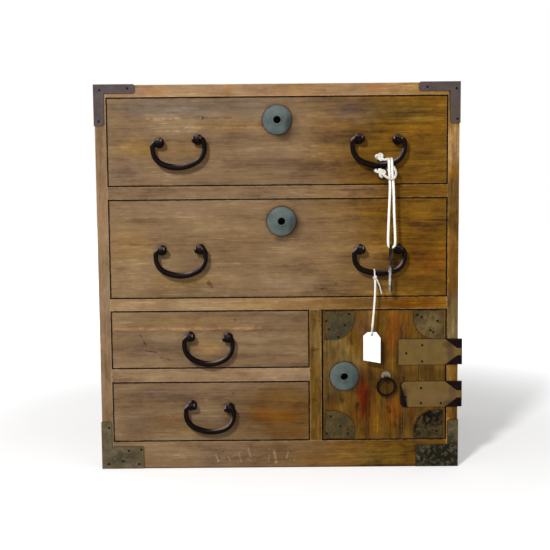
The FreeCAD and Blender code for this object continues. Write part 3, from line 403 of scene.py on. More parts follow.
SKIN = 0.016  # how deep stains and scratches go into a front
FRONTS = {  # seed of the grain, tint, patches and lines of each drawer front
    1: (21.0, (1.03, 1.03, 1.03), [
        (-110, 454, 170, 15, (0.78, 0.9, 1.2), 0.9), (-178, 404, 38, 16, YELLOW, 0.9),
        (-120, 402, 60, 16, GOLD, 0.45), (-60, 430, 60, 10, YELLOW, 0.5),
        (185, 424, 60, 16, (1.25, 1.2, 0.8), 0.8), (60, 444, 60, 16, DARKER, 0.25),
        (-195, 375, 40, 22, GREYER, 0.7), (60, 372, 90, 14, GREYER, 0.5), (20, 412, 60, 16, PALER, 0.12),
        (130, 446, 90, 20, (0.77, 0.92, 1.8), 0.9), (150, 380, 70, 12, DARKER, 0.4),
        # the dark halo below and right of the lock plate is painted shadow of the plate
        (4.5, 433.5, 27, 27, PLATE_SHADOW, 1.0)], [
        (-161, 441, -122, 441, 2.2, PALER, 1.0), (-116, 442, -57, 441, 1.8, DARKER, 0.9),
        (-113, 429.4, -12, 429, 1.8, PALER, 0.9), (-96, 441, -93, 441, 3.4, BLACKISH, 1.0),
        (-150, 426, -100, 425, 1.6, PALER, 0.6), (-190, 420, -130, 419, 1.6, DARKER, 0.5),
        (20, 431, 92, 429, 1.6, PALER, 0.7), (-20, 386, -96, 389, 1.2, PALER, 0.5),
        (40, 402, 160, 404, 1.2, DARKER, 0.6), (60, 394, 170, 393, 1.4, PALER, 0.35)]),
    2: (24.5, (1.12, 1.12, 1.08), [
        (-150, 330, 120, 14, GREYER, 0.6), (-180, 285, 40, 26, YELLOW, 0.5), (40, 268, 60, 20, PALER, 0.18),
        (190, 260, 40, 26, REDDISH, 0.6), (150, 322, 60, 12, YELLOW, 0.5), (-120, 240, 80, 14, GOLD, 0.4),
        (30, 232, 60, 10, GREYER, 0.6), (172, 278, 30, 30, (0.8, 0.72, 0.4), 0.7),
        (-120, 226, 110, 18, (0.74, 0.72, 0.68), 1.0), (182, 325, 50, 20, (1.2, 1.3, 1.6), 0.8),
        (184, 231, 50, 18, (0.78, 0.76, 0.74), 0.9), (-45, 279, 60, 40, (0.85, 0.82, 0.76), 0.9),
        # the dark halo below and right of the lock plate is painted shadow of the plate
        (9, 308.5, 27, 27, PLATE_SHADOW, 1.0)], [
        (-184, 285, -93, 284, 2.4, DARKER, 0.9), (-98, 256, 30, 257, 2.0, DARKER, 0.7),
        (-120, 236, -60, 235, 2.0, DARKER, 0.6), (-88, 238, -84, 232, 4.0, BLACKISH, 0.6),
        (-140, 232, -112, 231, 1.8, PALER, 0.8), (-190, 318, -80, 320, 1.4, PALER, 0.5),
        (-100, 262, 40, 260, 1.6, PALER, 0.4), (40, 300, 190, 298, 1.4, DARKER, 0.5),
        (30, 285, 130, 287, 1.4, PALER, 0.5), (-60, 228, 60, 229, 1.6, DARKER, 0.5)]),
    3: (28.1, (1.06, 1.06, 1.06), [
        (-120, 190, 90, 8, YELLOW, 0.5), (-160, 156, 46, 20, GREYER, 0.8),
        (-157, 150, 70, 30, (0.8, 0.78, 0.76), 0.9), (-88, 153, 24, 15, (1.5, 1.38, 1.05), 0.8),
        (-115, 179, 110, 4.5, (1.3, 1.2, 1.0), 0.9), (0, 160, 30, 16, DARKER, 0.3),
        (-60, 187, 60, 7, PALER, 0.3), (10, 136, 26, 6, PALER, 0.2)], [
        (-206, 179.4, -22, 179.0, 2.6, PALER, 0.9), (-206, 176, -22, 175.6, 2.4, DARKER, 0.5),
        (-174.5, 171.5, -166, 156, 1.3, BLACKISH, 0.85), (-168, 151.5, -154.5, 149.5, 1.3, BLACKISH, 0.8),
        (-149, 142.5, -138, 139.3, 1.3, BLACKISH, 0.7), (-186, 190.1, -184, 190.1, 2.4, BLACKISH, 0.8),
        (-20, 170, 30, 168, 2.0, PALER, 0.4)]),
    4: (33.3, (0.98, 0.98, 0.98), [
        (-150, 96, 60, 12, GREYER, 0.9), (-156, 61, 70, 30, (0.84, 0.82, 0.78), 0.9),
        (-180, 60, 30, 20, GREYER, 0.6), (-140, 62, 30, 12, REDDISH, 0.5),
        (-8, 66, 44, 12, (1.35, 1.05, 0.4), 0.95), (26, 80, 18, 8, DARKER, 0.7),
        (-110, 48, 80, 10, GOLD, 0.4), (0, 44, 40, 8, DARKER, 0.4),
        (6, 66, 90, 60, (0.74, 0.56, 0.22), 0.9)], [
        (-160, 66, -135, 67, 1.8, DARKER, 0.8), (-93, 88, -92, 88, 2.4, PALER, 1.0),
        (0, 84, 32, 82, 2.2, DARKER, 0.8), (14, 58, 34, 57, 1.8, DARKER, 0.6)]),
}
for number, (seed, tint, patches, lines) in FRONTS.items():
    drawer = f"drawer_{number}"
    front = drawer + "_front"
    wood = timber("wood_" + front, "x", seed, tint, patches, lines, rim_darkened=front, depth=SKIN)
    dressed(front, wood)
    dressed(drawer + "_walls", inside_y)
    dressed(drawer + "_bottom", inside_x)


# ---- Handles ----
# Forged bar, thick in the middle and bent in a flat bow, whose turned-in ends hang in split pins
# of iron strip that go through the drawer front and are clinched behind it.

def carried(bm, x, z, tilt=0.0, out=0.0):
    """Brings a mesh drawn in millimetres to its place on the front, tilted in degrees."""
    place = Matrix.Translation((x * MM, FRONT, z * MM)) @ Matrix.Rotation(radians(-tilt), 4, "Y")
    place = place @ Matrix.Scale(MM, 4) @ Matrix.Translation((0, -out, 0))
    bmesh.ops.transform(bm, matrix=place, verts=bm.verts)


def edges_of(made):
    return [part for part in made if isinstance(part, bmesh.types.BMEdge)]


def verts_of(made):
    return [part for part in made if isinstance(part, bmesh.types.BMVert)]


def drawn(bm, places, closed=False):
    """A line of edges through a list of places."""
    corners = [bm.verts.new(place) for place in places]
    return [bm.edges.new(pair) for pair in zip(corners, corners[1:] + corners[:1] * closed)]


def lathed(bm, line, axis, steps, centre=ORIGIN):
    """A line turned once round an axis, as on a lathe."""
    bmesh.ops.spin(bm, geom=line, cent=centre, axis=axis, angle=2 * pi, steps=steps, use_merge=True)


def lengthened(bm, ring, by):
    """A tube drawn out from its end ring: its new vertices and its new end ring."""
    made = bmesh.ops.extrude_edge_only(bm, edges=ring)["geom"]
    verts = verts_of(made)
    bmesh.ops.translate(bm, vec=by, verts=verts)
    return verts, [e for e in edges_of(made) if all(v in verts for v in e.verts)]


LAMP_FACING_FLANK = (-0.56, -0.5, 0.66)  # the way faced by the flanks that take a painted highlight, towards the lamp
FLANK_HIGHLIGHT, IRON_RUB, IRON_RELIEF = paint(150, 130, 120), 0.0007, 0.00025


def forged(name, tones, rust, rough, specular, rub, metallic=0.0, speckle=900, patches=(),
           rubbed_tone=(128, 118, 112), highlighted=0.0, whole=0.25):
    """Old iron: two tones in clouds, rust (colour and share) in fine speckles, pale rubbed edges and patches
    (x, z, half width, half height, colour, share). highlighted is the share of a painted highlight on the
    flanks that face the lamp, and whole is the share of a patch that stays between its blotches."""
    material, tree, shader, here = finish_of(name)
    broad = cloud(tree, here, 70, 4)
    fine = cloud(tree, here, speckle, 4, 0.7)
    blotch = cloud(tree, here, 190, 5, 0.65)
    colour = mixed(tree, step(tree, broad, 0.36, 0.66), *(paint(*tone) for tone in tones))
    colour = mixed(tree, times(tree, step(tree, fine, 0.5, 0.66), rust[3]), colour, paint(*rust[:3]))
    for x, z, wide, high, shade, share in patches:
        mask = stain(tree, here, x, z, wide, high, 0.8)
        mask = times(tree, mask, step(tree, blotch, 0.4, 0.54, whole, 1.0))
        colour = mixed(tree, times(tree, mask, share), colour, paint(*shade))
    # Painted highlight: flanks that face the lamp, up and to the left, are lightened.
    if highlighted:
        facing = add(tree, "NewGeometry").outputs["Normal"]
        facing = vectors(tree, "DOT_PRODUCT", facing, LAMP_FACING_FLANK, "Value")
        facing = times(tree, step(tree, facing, 0.74, 0.92), step(tree, broad, 0.35, 0.55, 0.4, 1.0))
        colour = mixed(tree, times(tree, facing, highlighted), colour, FLANK_HIGHLIGHT)
    rubbed = use(tree, wear_tree, Vector=here, Radius=IRON_RUB)["Mask"]
    colour = mixed(tree, times(tree, rubbed, rub), colour, paint(*rubbed_tone))
    rough = step(tree, fine, 0.3, 0.7, rough - 0.08, rough + 0.14)
    pitted = relief(tree, plus(tree, times(tree, broad, 1.6), fine), IRON_RELIEF, 0.6)
    fill(tree, shader, {"Base Color": colour, "Roughness": rough, "Metallic": metallic,
                        "Specular IOR Level": specular, "Normal": pitted})
    return material


black_iron = forged("iron_forged_black", ((3, 1, 1), (13, 6, 4)), (38, 18, 11, 0.35), rough=0.34,
    specular=0.05, rub=0.15, rubbed_tone=(96, 82, 76), highlighted=0.6)
PIVOT_OUT, PIN_X = 9.0, 24.0  # how far the pivot stands out, and each pin from the middle
BAR_MID, BAR_HIP, BAR_SIDE = 3.8, 3.5, 2.9  # radii of the bar, from its middle to its sides
END_BEND, WAIST, HIP_SHARE, EYE_PLAY = 5.5, 9.0, 0.88, 0.4
END_SWELLS = ((0.3, 3.3), (0.4, 3.9), (0.3, 3.1))  # shares of the end's bend, and the radius after each
END_BUTTON = ((0.4, 1.3), (1.4, 1.12), (1.5, 0.85), (0.9, 0.6))  # lengths past the eye, and growths
STRIP_W, STRIP_T, EYE_INNER, LEG_GAP = 4.4, 1.5, 3.6, 0.02
ACROSS, FORE, UPRIGHT = Vector((1, 0, 0)), Vector((0, 1, 0)), Vector((0, 0, 1))


def swept_ring(bm, ring, centre, angle, steps, here, radius, last):
    """Carries a bar's end ring round a centre in steps, from one radius to another."""
    part = angle / steps
    for i in range(steps):
        made = bmesh.ops.spin(bm, geom=ring, cent=centre, axis=FORE, angle=part, steps=1)["geom_last"]
        ring = edges_of(made)
        here = Matrix.Rotation(part, 4, FORE) @ (here - centre) + centre
        grown = radius + (last - radius) * (i + 1) / steps
        before = radius + (last - radius) * i / steps
        bmesh.ops.scale(bm, vec=(grown / before,) * 3, space=Matrix.Translation(-here), verts=verts_of(made))
    return ring, here


def bail_mesh(width, drop):
    """The left half, swept from the middle to the turned-in end, and its mirror image."""
    half, low = width / 2 - BAR_SIDE, drop - BAR_MID
    fall = low - WAIST
    hip = HIP_SHARE * fall
    sweep = ((half - hip) ** 2 + fall ** 2 - hip ** 2) / (2 * (fall - hip))
    meet = atan2(half - hip, sweep - fall)
    bm = bmesh.new()
    start = Vector((0, -PIVOT_OUT, -low))
    space = Matrix.Translation(start) @ Matrix.Rotation(pi / 2, 4, "Y")
    bmesh.ops.create_circle(bm, segments=20, radius=BAR_MID, matrix=space)
    ring, here = swept_ring(bm, bm.edges[:], Vector((0, -PIVOT_OUT, sweep - low)), meet, 12, start,
                            BAR_MID, BAR_HIP)
    ring, here = swept_ring(bm, ring, Vector((hip - half, -PIVOT_OUT, -WAIST)), pi / 2 - meet, 16, here,
                            BAR_HIP, BAR_SIDE)
    rise = Vector((0, 0, WAIST - END_BEND))
    ring, here = lengthened(bm, ring, rise)[1], here + rise
    curl, last = Vector((END_BEND - half, -PIVOT_OUT, -END_BEND)), BAR_SIDE
    for share, swell in END_SWELLS:
        ring, here = swept_ring(bm, ring, curl, share * pi / 2, 5, here, last, swell)
        last = swell
    past_eye = PIN_X - STRIP_W / 2 - EYE_PLAY
    for reach, share in ((half - END_BEND - past_eye, 1.0),) + END_BUTTON:
        verts, ring = lengthened(bm, ring, (reach, 0, 0))
        here = here + Vector((reach, 0, 0))
        bmesh.ops.scale(bm, vec=(share,) * 3, space=Matrix.Translation(-here), verts=verts)
    bmesh.ops.edgeloop_fill(bm, edges=ring)
    bmesh.ops.mirror(bm, geom=bm.verts[:] + bm.edges[:] + bm.faces[:], axis="X", merge_dist=0.001)
    return bm


FRONT_T, CLINCH = 18.0, 8.0
SEAT_PROFILE = ((0.001, 0.0), (6.3, 0.0), (6.3, 0.6), (5.9, 1.1), (5.0, 1.3), (4.4, 1.9), (2.6, 2.5),
                (0.001, 2.6))


def split_pin_mesh(bm, x):
    """Iron strip: up through the front, round the bar's end and back, each leg bent over behind."""
    inner, outer = EYE_INNER, EYE_INNER + STRIP_T
    middle = (inner + outer) / 2
    begin = asin(STRIP_T / 2 / middle)
    out, up = cos(begin), sin(begin)
    strip = drawn(bm, [(x + side * STRIP_W / 2, radius * out - PIVOT_OUT, radius * up)
                       for side, radius in ((-1, inner), (1, inner), (1, outer), (-1, outer))], closed=True)
    made = bmesh.ops.spin(bm, geom=strip, cent=(0, -PIVOT_OUT, 0), axis=ACROSS,
                          angle=2 * pi - 2 * begin, steps=22)["geom_last"]
    for side, ring in ((1, strip), (-1, edges_of(made))):
        verts = list({v for e in ring for v in e.verts})
        bmesh.ops.scale(bm, vec=(1, 0, 1), verts=verts, space=Matrix.Translation((0, PIVOT_OUT - middle, 0)))
        for v in verts:
            v.co.z = side * (STRIP_T if abs(v.co.z) > STRIP_T / 2 + 0.1 else LEG_GAP)
        ring = lengthened(bm, ring, (0, FRONT_T + PIVOT_OUT - middle, 0))[1]
        bent = bmesh.ops.spin(bm, geom=ring, cent=(0, FRONT_T, side * STRIP_T), axis=side * ACROSS,
                              angle=pi / 2, steps=4)["geom_last"]
        ring = lengthened(bm, edges_of(bent), (0, 0, side * (CLINCH - STRIP_T)))[1]
        bmesh.ops.edgeloop_fill(bm, edges=ring)
    lathed(bm, drawn(bm, [(x + radius, -out, 0) for radius, out in SEAT_PROFILE]), FORE, 28, (x, 0, 0))


HANDLES = {  # drawer, x of the middle, height of the pivots, width, drop, tilt
    "handle_1_left": (1, -121.9, 412.8, 69.5, 36.0, 4.5),
    "handle_1_right": (1, 124.6, 413.2, 70.0, 36.2, -1.5),
    "handle_2_left": (2, -121.0, 278.5, 67.5, 35.5, 1.0),
    "handle_2_right": (2, 125.5, 277.2, 68.0, 33.0, 0.0),
    "handle_3": (3, -87.8, 168.3, 66.0, 36.5, -2.0),
    "handle_4": (4, -86.8, 79.8, 66.0, 34.5, -4.5),
}
pins = {number: bmesh.new() for number in FRONTS}
for name, (number, x, z, width, drop, tilt) in HANDLES.items():
    bar = bail_mesh(width, drop)
    carried(bar, x, z, tilt)
    piece(name + "_bar", bar, black_iron, name + "_bail", [name])
    for side in (-1, 1):
        pin = bmesh.new()
        split_pin_mesh(pin, side * PIN_X)
        carried(pin, x, z, tilt)
        spare = bpy.data.meshes.new("spare")
        pin.to_mesh(spare)
        pin.free()
        pins[number].from_mesh(spare)
        bpy.data.meshes.remove(spare)
for number, bm in pins.items():
    piece(f"split_pins_{number}", bm, black_iron, f"drawer_{number}",
          [f"drawer_{number}_handle_posts"])


# ---- Locks ----
# A dished iron disc with a collar round the keyhole, spun and filed, over a sheet-iron case
# let into the back of the wood, with a sliding bolt.

# Each patch lies right of a keyhole and darkens the right and lower right of the domed plate: painted shade.
plate_iron = forged("iron_lock_plate", ((84, 93, 91), (68, 79, 75)), (104, 104, 96, 0.25), rough=0.45,
    specular=0.12, rub=0.5, patches=[
    (92, 117, 14, 22, (62, 76, 70), 0.55), (9, 432, 14, 18, (70, 82, 78), 0.4),
    (14, 308, 14, 18, (70, 82, 78), 0.4), (15, 434, 8, 16, (44, 48, 46), 0.9),
    (19.5, 309, 8, 16, (44, 48, 46), 0.7), (97, 113, 8, 16, (44, 52, 50), 0.6)],
    rubbed_tone=(150, 164, 160), whole=1.0)
PLATE_PROFILE = ((4.6, 0.0), (4.6, 4.9), (5.0, 5.5), (6.2, 5.5), (6.7, 4.3), (7.2, 3.9), (10.5, 3.6),
                 (13.5, 3.1), (16.2, 2.6), (17.0, 2.2), (18.0, 1.4), (18.0, 0.0))
LOCKS = {"drawer_1": (0.0, 438.0), "drawer_2": (4.5, 313.0), "door": (82.0, 117.0)}
for body, (x, z) in LOCKS.items():
    bm = bmesh.new()
    lathed(bm, drawn(bm, [(radius, -out, 0) for radius, out in PLATE_PROFILE], closed=True), FORE, 64)
    carried(bm, x, z)
    piece(body + "_keyhole_plate", bm, plate_iron, body, [body + "_lock_plate"])
    for part in ("_lock_case", "_lock_bolt"):
        dressed(body + part, black_iron)


# ---- The cupboard door ----
# Three upright boards glued edge to edge with two battens behind, sheet-iron plates nailed on its corners,
# and an iron ring in a split pin over a small round washer.

RED, PLUM, SOOTY = (0.95, 0.36, 0.1), (0.85, 0.72, 1.0), (0.42, 0.38, 0.36)
AMBER = (1.4, 0.95, 0.7)
dressed("door_panel", timber("wood_door", "z", 41.0, (0.9, 0.92, 1.3), patches=[
    (107, 84, 16, 40, (1.15, 0.5, 0.12), 0.95), (106, 88, 9, 28, RED, 0.8), (103, 116, 7, 14, RED, 0.2),
    # the patch at (112, 119), right of the lock plate, is partly painted shadow of the plate and partly
    # darker wood
    (112, 119, 18, 18, (0.6, 0.58, 0.75), 0.9), (107, 182, 14, 32, (1.15, 1.15, 3.2), 0.95),
    (112, 142, 14, 30, PLUM, 0.9), (142, 172, 12, 40, AMBER, 0.9), (145, 70, 17, 30, (1.6, 1.1, 0.7), 0.95),
    (155, 184, 14, 26, AMBER, 0.6), (120, 60, 10, 28, GOLD, 0.9), (162, 60, 13, 22, (0.6, 0.64, 0.8), 0.8),
    (130, 144, 9, 30, SOOTY, 0.75), (72, 130, 40, 60, (1.0, 1.3, 3.4), 0.9),
    # the dark halo at (86.5, 112.5), below and right of the lock plate, is painted shadow of the plate
    (86.5, 112.5, 27, 27, PLATE_SHADOW, 1.0), (72, 146, 18, 22, SOOTY, 0.35),
    (90, 150, 9, 20, (1.25, 1.25, 1.1), 0.8), (76, 88, 16, 12, SOOTY, 0.7), (66, 78, 8, 14, GOLD, 0.9),
    (134, 108, 22, 22, SOOTY, 0.8), (117, 112, 9, 36, SOOTY, 0.7), (152, 118, 12, 40, SOOTY, 0.6),
    (188, 119, 34, 16, (0.55, 0.6, 0.75), 0.9), (168, 72, 10, 24, PLUM, 0.8),
    (126, 150, 10, 26, SOOTY, 0.5), (150, 150, 8, 30, SOOTY, 0.5), (70, 200, 30, 6, DARKER, 0.6),
    (140, 30, 60, 18, (1.2, 1.3, 2.0), 0.8)], lines=[
    (86, 150, 86, 136, 1.6, PALER, 0.9), (133, 190, 133, 176, 1.6, PALER, 0.7),
    (114, 62, 116, 50, 1.6, PALER, 0.7), (128, 60, 128, 46, 1.4, PALER, 0.7),
    (182, 126, 182, 108, 2.2, PALER, 1.0), (176, 124, 176, 112, 1.4, PALER, 0.8),
    (100, 82, 99, 78, 3.0, BLACKISH, 0.9), (137, 76, 139, 71, 4.0, BLACKISH, 0.7),
    (76, 96, 79, 84, 3.2, BLACKISH, 0.8), (155.0, 106, 153.5, 86, 3.2, BLACKISH, 1.0),
    (154, 82, 162, 77.5, 3.2, BLACKISH, 1.0), (90, 170, 92, 158, 3.0, BLACKISH, 0.5),
    (120, 96, 121, 84, 2.4, BLACKISH, 0.5),
    (146, 62, 147, 52, 3.4, BLACKISH, 0.5)], warm=(-0.2, -0.1), flecks=1.0, rim_darkened="door_panel", depth=SKIN))
door_iron = forged("iron_door_plates", ((64, 54, 34), (84, 68, 38)), (28, 24, 16, 0.6), rough=0.75,
    specular=0.05, rub=0.3, speckle=300, patches=[
    (72, 182, 22, 24, (52, 52, 42), 0.8), (190, 186, 26, 26, (112, 92, 56), 0.7),
    (184, 62, 46, 38, (12, 10, 7), 1.0)])
dressed("door_corner_irons", door_iron)

RING_X, RING_RADIUS, RING_WIRE, RING_TOP, RING_OUT = 134.7, 11.0, 1.5, 114.95, 5.0
bm = bmesh.new()
space = Matrix.Translation((0, 0, RING_RADIUS)) @ Matrix.Rotation(pi / 2, 4, "Y")
bmesh.ops.create_circle(bm, segments=12, radius=RING_WIRE, matrix=space)
lathed(bm, bm.edges[:], FORE, 48)
carried(bm, RING_X, RING_TOP - RING_RADIUS, out=RING_OUT)
ring_iron = forged("iron_ring", ((4, 2, 1), (16, 8, 5)), (40, 24, 14, 0.3), rough=0.36, specular=0.05,
    rub=0.15)
piece("door_ring_bar", bm, ring_iron, "door_ring", ["ring_pull"])
washer_iron = forged("iron_ring_washer", ((140, 130, 104), (116, 108, 88)), (70, 62, 48, 0.3), rough=0.6,
    specular=0.06, rub=0.3)
dressed("ring_pull_boss", washer_iron)
EYE_HOLE, EYE_OUTER, EYE_HALF = 1.75, 3.7, 2.4
bm = bmesh.new()
EYE_PROFILE = ((-EYE_HALF, EYE_HOLE), (EYE_HALF, EYE_HOLE), (EYE_HALF, EYE_OUTER - 0.5),
               (EYE_HALF - 0.5, EYE_OUTER), (0.5 - EYE_HALF, EYE_OUTER), (-EYE_HALF, EYE_OUTER - 0.5))
lathed(bm, drawn(bm, [(side, 0, radius) for side, radius in EYE_PROFILE], closed=True), ACROSS, 24)
carried(bm, RING_X, RING_TOP, out=RING_OUT)
piece("door_ring_eye", bm, ring_iron, "door")


# ---- Corner irons and hinges ----
# Thin iron sheet, folded over the corners and nailed; each hinge leaf on the door ends in a tongue
# whose knuckle turns on a pin between the knuckles of the leaf that wraps the chest's side.

sheet_iron = forged("iron_top_corners", ((82, 73, 71), (72, 63, 62)), (54, 46, 45, 0.3), rough=0.65,
    specular=0.06, rub=0.3, patches=[
    (222, 452, 12, 34, (76, 66, 54), 0.8), (182, 478, 10, 8, (88, 62, 70), 0.5)], whole=0.8)
dressed("corner_irons_top", sheet_iron)
base_iron = forged("iron_base_corners", ((84, 74, 52), (104, 92, 70)), (54, 48, 36, 0.4), rough=0.7,
    specular=0.05, rub=0.3, speckle=300, patches=[
    (-197, 14, 20, 12, (34, 34, 30), 0.6), (196, 14, 80, 44, (14, 14, 9), 1.0),
    (202, 12, 52, 34, (30, 30, 20), 0.6), (218, 62, 16, 24, (70, 58, 32), 0.8)])
dressed("corner_irons_bottom", base_iron)
hinge_iron = forged("iron_hinge_leaves", ((108, 86, 46), (98, 78, 44)), (76, 58, 30, 0.3), rough=0.8,
    specular=0.03, rub=0.2, patches=[
    (156.0, 86, 9.0, 22, (12, 8, 7), 0.9), (213, 156, 9, 6, (66, 48, 30), 0.6),
    (213, 81, 9, 6, (66, 48, 30), 0.6), (216, 145, 6, 30, (60, 44, 34), 0.5),
    (218, 92, 6, 30, (60, 44, 34), 0.5), (190, 92, 40, 12, (112, 84, 58), 0.5)], whole=0.8)
LIFTED_END, LIFT, LIFT_OVER, LEAF_ROUND = 166.0, 2.2, 12.0, 5.0  # the lower leaf's end curls off the wood
BETWEEN_LEAVES = 0.12  # a height in metres
bm = bmesh.new()
bm.from_mesh(nodes["hinge_door_leaves"].data)
bmesh.ops.remove_doubles(bm, verts=bm.verts, dist=1e-6)
bmesh.ops.dissolve_limit(bm, angle_limit=radians(1), verts=bm.verts, edges=bm.edges)
for round_off, chosen in ((LEAF_ROUND, lambda z: z < BETWEEN_LEAVES), (1.0, lambda z: z > BETWEEN_LEAVES)):
    end_x = min(v.co.x for v in bm.verts if chosen(v.co.z))
    arrises = [e for e in bm.edges if all(v.co.x < end_x + 1e-4 and chosen(v.co.z) for v in e.verts)
               and abs(e.verts[0].co.y - e.verts[1].co.y) > 5e-4]
    bmesh.ops.bevel(bm, geom=arrises, offset=round_off * MM, offset_type="OFFSET", segments=5, profile=0.5,
                    affect="EDGES", material=-1)
BLACKENED = (Vector((157.6 * MM, 0, 92 * MM)), Vector((1.0, 0, 0.3)))  # where the black end begins
for place, normal in [BLACKENED] + [(Vector((x * MM, 0, 0)), ACROSS) for x in range(158, 167, 2)]:
    bmesh.ops.bisect_plane(bm, geom=bm.verts[:] + bm.edges[:] + bm.faces[:], dist=1e-6, plane_co=place,
                           plane_no=normal)
for v in bm.verts:
    if v.co.z < BETWEEN_LEAVES and v.co.x < LIFTED_END * MM:
        v.co.y -= LIFT * MM * ((LIFTED_END * MM - v.co.x) / (LIFT_OVER * MM)) ** 2
for f in bm.faces:
    middle = f.calc_center_median()
    f.material_index = int(middle.z < BETWEEN_LEAVES and (middle - BLACKENED[0]).dot(BLACKENED[1]) < 0)
door_leaves = piece("hinge_leaves_on_door", bm, hinge_iron, "door", ["hinge_door_leaves"],
                    smooth=30)
door_leaves.data.materials.append(black_iron)
dressed("hinge_side_leaves", black_iron)
dressed("hinge_pins", black_iron)

HEAD_R, HEAD_HIGH, HEAD_SUNK = 1.5, 1.2, 0.2
nail_iron = forged("iron_nail_heads", ((10, 7, 5), (22, 16, 12)), (60, 50, 36, 0.3), rough=0.35,
    specular=0.06, rub=0.2)


def nailed(name, plate, body, places):
    """Hand-made nails with low round heads, driven through a plate."""
    bm = bmesh.new()
    mesh = plate.data
    sheet = BVHTree.FromPolygons([v.co for v in mesh.vertices], [f.vertices for f in mesh.polygons])
    for x, z in places:
        spot = sheet.ray_cast(Vector((x * MM, -1, z * MM)), FORE)[0]
        if spot is None:
            raise ValueError(f"{name}: no plate under the nail at {x}, {z}")
        space = (Matrix.Translation(spot) @ Matrix.Diagonal((HEAD_R * MM, HEAD_HIGH * MM, HEAD_R * MM, 1))
                 @ Matrix.Rotation(pi / 2, 4, "X"))
        made = bmesh.ops.create_uvsphere(bm, u_segments=10, v_segments=6, radius=1.0, matrix=space)["verts"]
        for v in made:
            v.co.y = min(v.co.y, spot.y + HEAD_SUNK * MM)
    piece(name, bm, nail_iron, body, smooth=60)


nailed("nails_door_plates", nodes["door_corner_irons"], "door", [
    (179.3, 191.6), (173.8, 194.2), (199.3, 186.5), (190.5, 174.6), (193.8, 172.3), (59.7, 187.8),
    (88.2, 196.2), (83, 182), (62.9, 176.9), (74.7, 167.1), (64.8, 65.3), (86.6, 43.5), (59.7, 43.7),
    (77, 52.7), (200.5, 66.4), (187.8, 55.8), (198.3, 45.8), (177, 43.6), (189, 71)])
nailed("nails_hinge_leaves", door_leaves, "door", [
    (180, 155.9), (160, 145.5), (180, 135.1), (178.7, 101.1), (159.3, 89.8), (178.8, 81.8), (203.9, 81.6)])
nailed("nails_base_corners", nodes["corner_irons_bottom"], "carcass", [
    (191.6, 22.8), (179.6, 7.5), (211.1, 25), (211.2, 8.1), (-216, 53.1), (-191.8, 23.2), (-217.4, 6.2),
    (-179.1, 5.9), (-175.9, 24.6), (-199.1, 9.8)])
nailed("nails_top_corners", nodes["corner_irons_top"], "carcass", [
    (-218.2, 475.9), (-219.8, 437.9), (-183.8, 477.9), (185, 476.6), (220.8, 474.5), (222.2, 437.2)])


# ---- The key on its cord ----
# A hollow-ended iron key hangs in the bight of a soft white cotton cord, doubled over the handle's bar,
# hitched round itself and knotted twice. The yarn's strands slant, with painted shade in the grooves between
# them, and it is slightly soiled.

cord_white, tree, shader, here = finish_of("cotton_cord_white")
TWISTS, YARN_RELIEF = 130.0, 0.0004
laid = add(tree, "SeparateXYZ", {0: add(tree, "UVMap").outputs[0]}).outputs
turn = plus(tree, times(tree, laid["X"], TWISTS), times(tree, laid["Y"], 2.0))
ridge = sums(tree, "ABSOLUTE", sums(tree, "SINE", times(tree, turn, pi)))
fuzz = cloud(tree, here, 1500)
# The ridges of the strands are lighter and the grooves between them darker: painted shade.
lit = plus(tree, times(tree, step(tree, ridge, 0.0, 0.7), 0.75), times(tree, fuzz, 0.25))
colour = mixed(tree, lit, paint(212, 203, 182), paint(255, 253, 244))
hairy = relief(tree, plus(tree, ridge, times(tree, fuzz, 0.4)), YARN_RELIEF, 0.8)
fill(tree, shader, {"Base Color": colour, "Roughness": 0.9, "Sheen Weight": 0.2, "Normal": hairy})


def strand(name, points, radius, body, closed=False):
    """A cord as one smooth curve through its route, in millimetres."""
    curve = bpy.data.curves.new(name, "CURVE")
    curve.dimensions = "3D"
    curve.bevel_depth = radius * MM
    curve.bevel_resolution = 3
    curve.resolution_u = 6
    curve.use_fill_caps = True
    spline = curve.splines.new("NURBS")
    spline.points.add(len(points) - 1)
    for control, place in zip(spline.points, points):
        control.co = [c * MM for c in place] + [1.0]
    spline.order_u = 3
    spline.use_cyclic_u = closed
    spline.use_endpoint_u = not closed
    curve.materials.append(cord_white)
    return placed_on(bpy.data.objects.new(name, curve), body)


CORD_RADIUS, LOOP_Y, BAR_Z = 1.6, -159.4, 382.0
over_bar = ((-154.8, 375.4), (-149.5, 374.2), (-144.9, 377.8), (-145.1, 385.9), (-149.4, 389.0),
            (-155.0, 389.0), (-159.0, 385.2))
loop = [(x, LOOP_Y, BAR_Z - below) for x, below in (
    (136.4, 6), (137.8, 24), (137.2, 42), (136.3, 61), (135.6, 82), (135.2, 95), (136.0, 100.4),
    (139.4, 102.4), (143.5, 100.1), (144.2, 94.5), (143.8, 82), (142.8, 61), (142.4, 42), (141.8, 24),
    (140.0, 6))]
route = [(136.4, y, z) for y, z in over_bar] + loop + [(140.0, y, z) for y, z in over_bar[::-1]]
cord = strand("key_cord_line", route, CORD_RADIUS, "key_loop")
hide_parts("key_cord", "key_cord_turns")


def knot(name, centre, size, lean, radius, body):
    """A tight overhand knot: a trefoil of cord pulled into a lump of a given width, height and depth."""
    wide, high, deep = size
    points = []
    for i in range(18):
        a = 2 * pi * i / 18
        x = (sin(a) + 2 * sin(2 * a)) / 3 * (wide / 2 - radius)
        z = (cos(a) - 2 * cos(2 * a)) / 3 * (high / 2 - radius)
        points.append((centre[0] + x * cos(lean) - z * sin(lean),
                       centre[1] - sin(3 * a) * (deep / 2 - radius),
                       centre[2] + x * sin(lean) + z * cos(lean)))
    return strand(name, points, radius, body, closed=True)


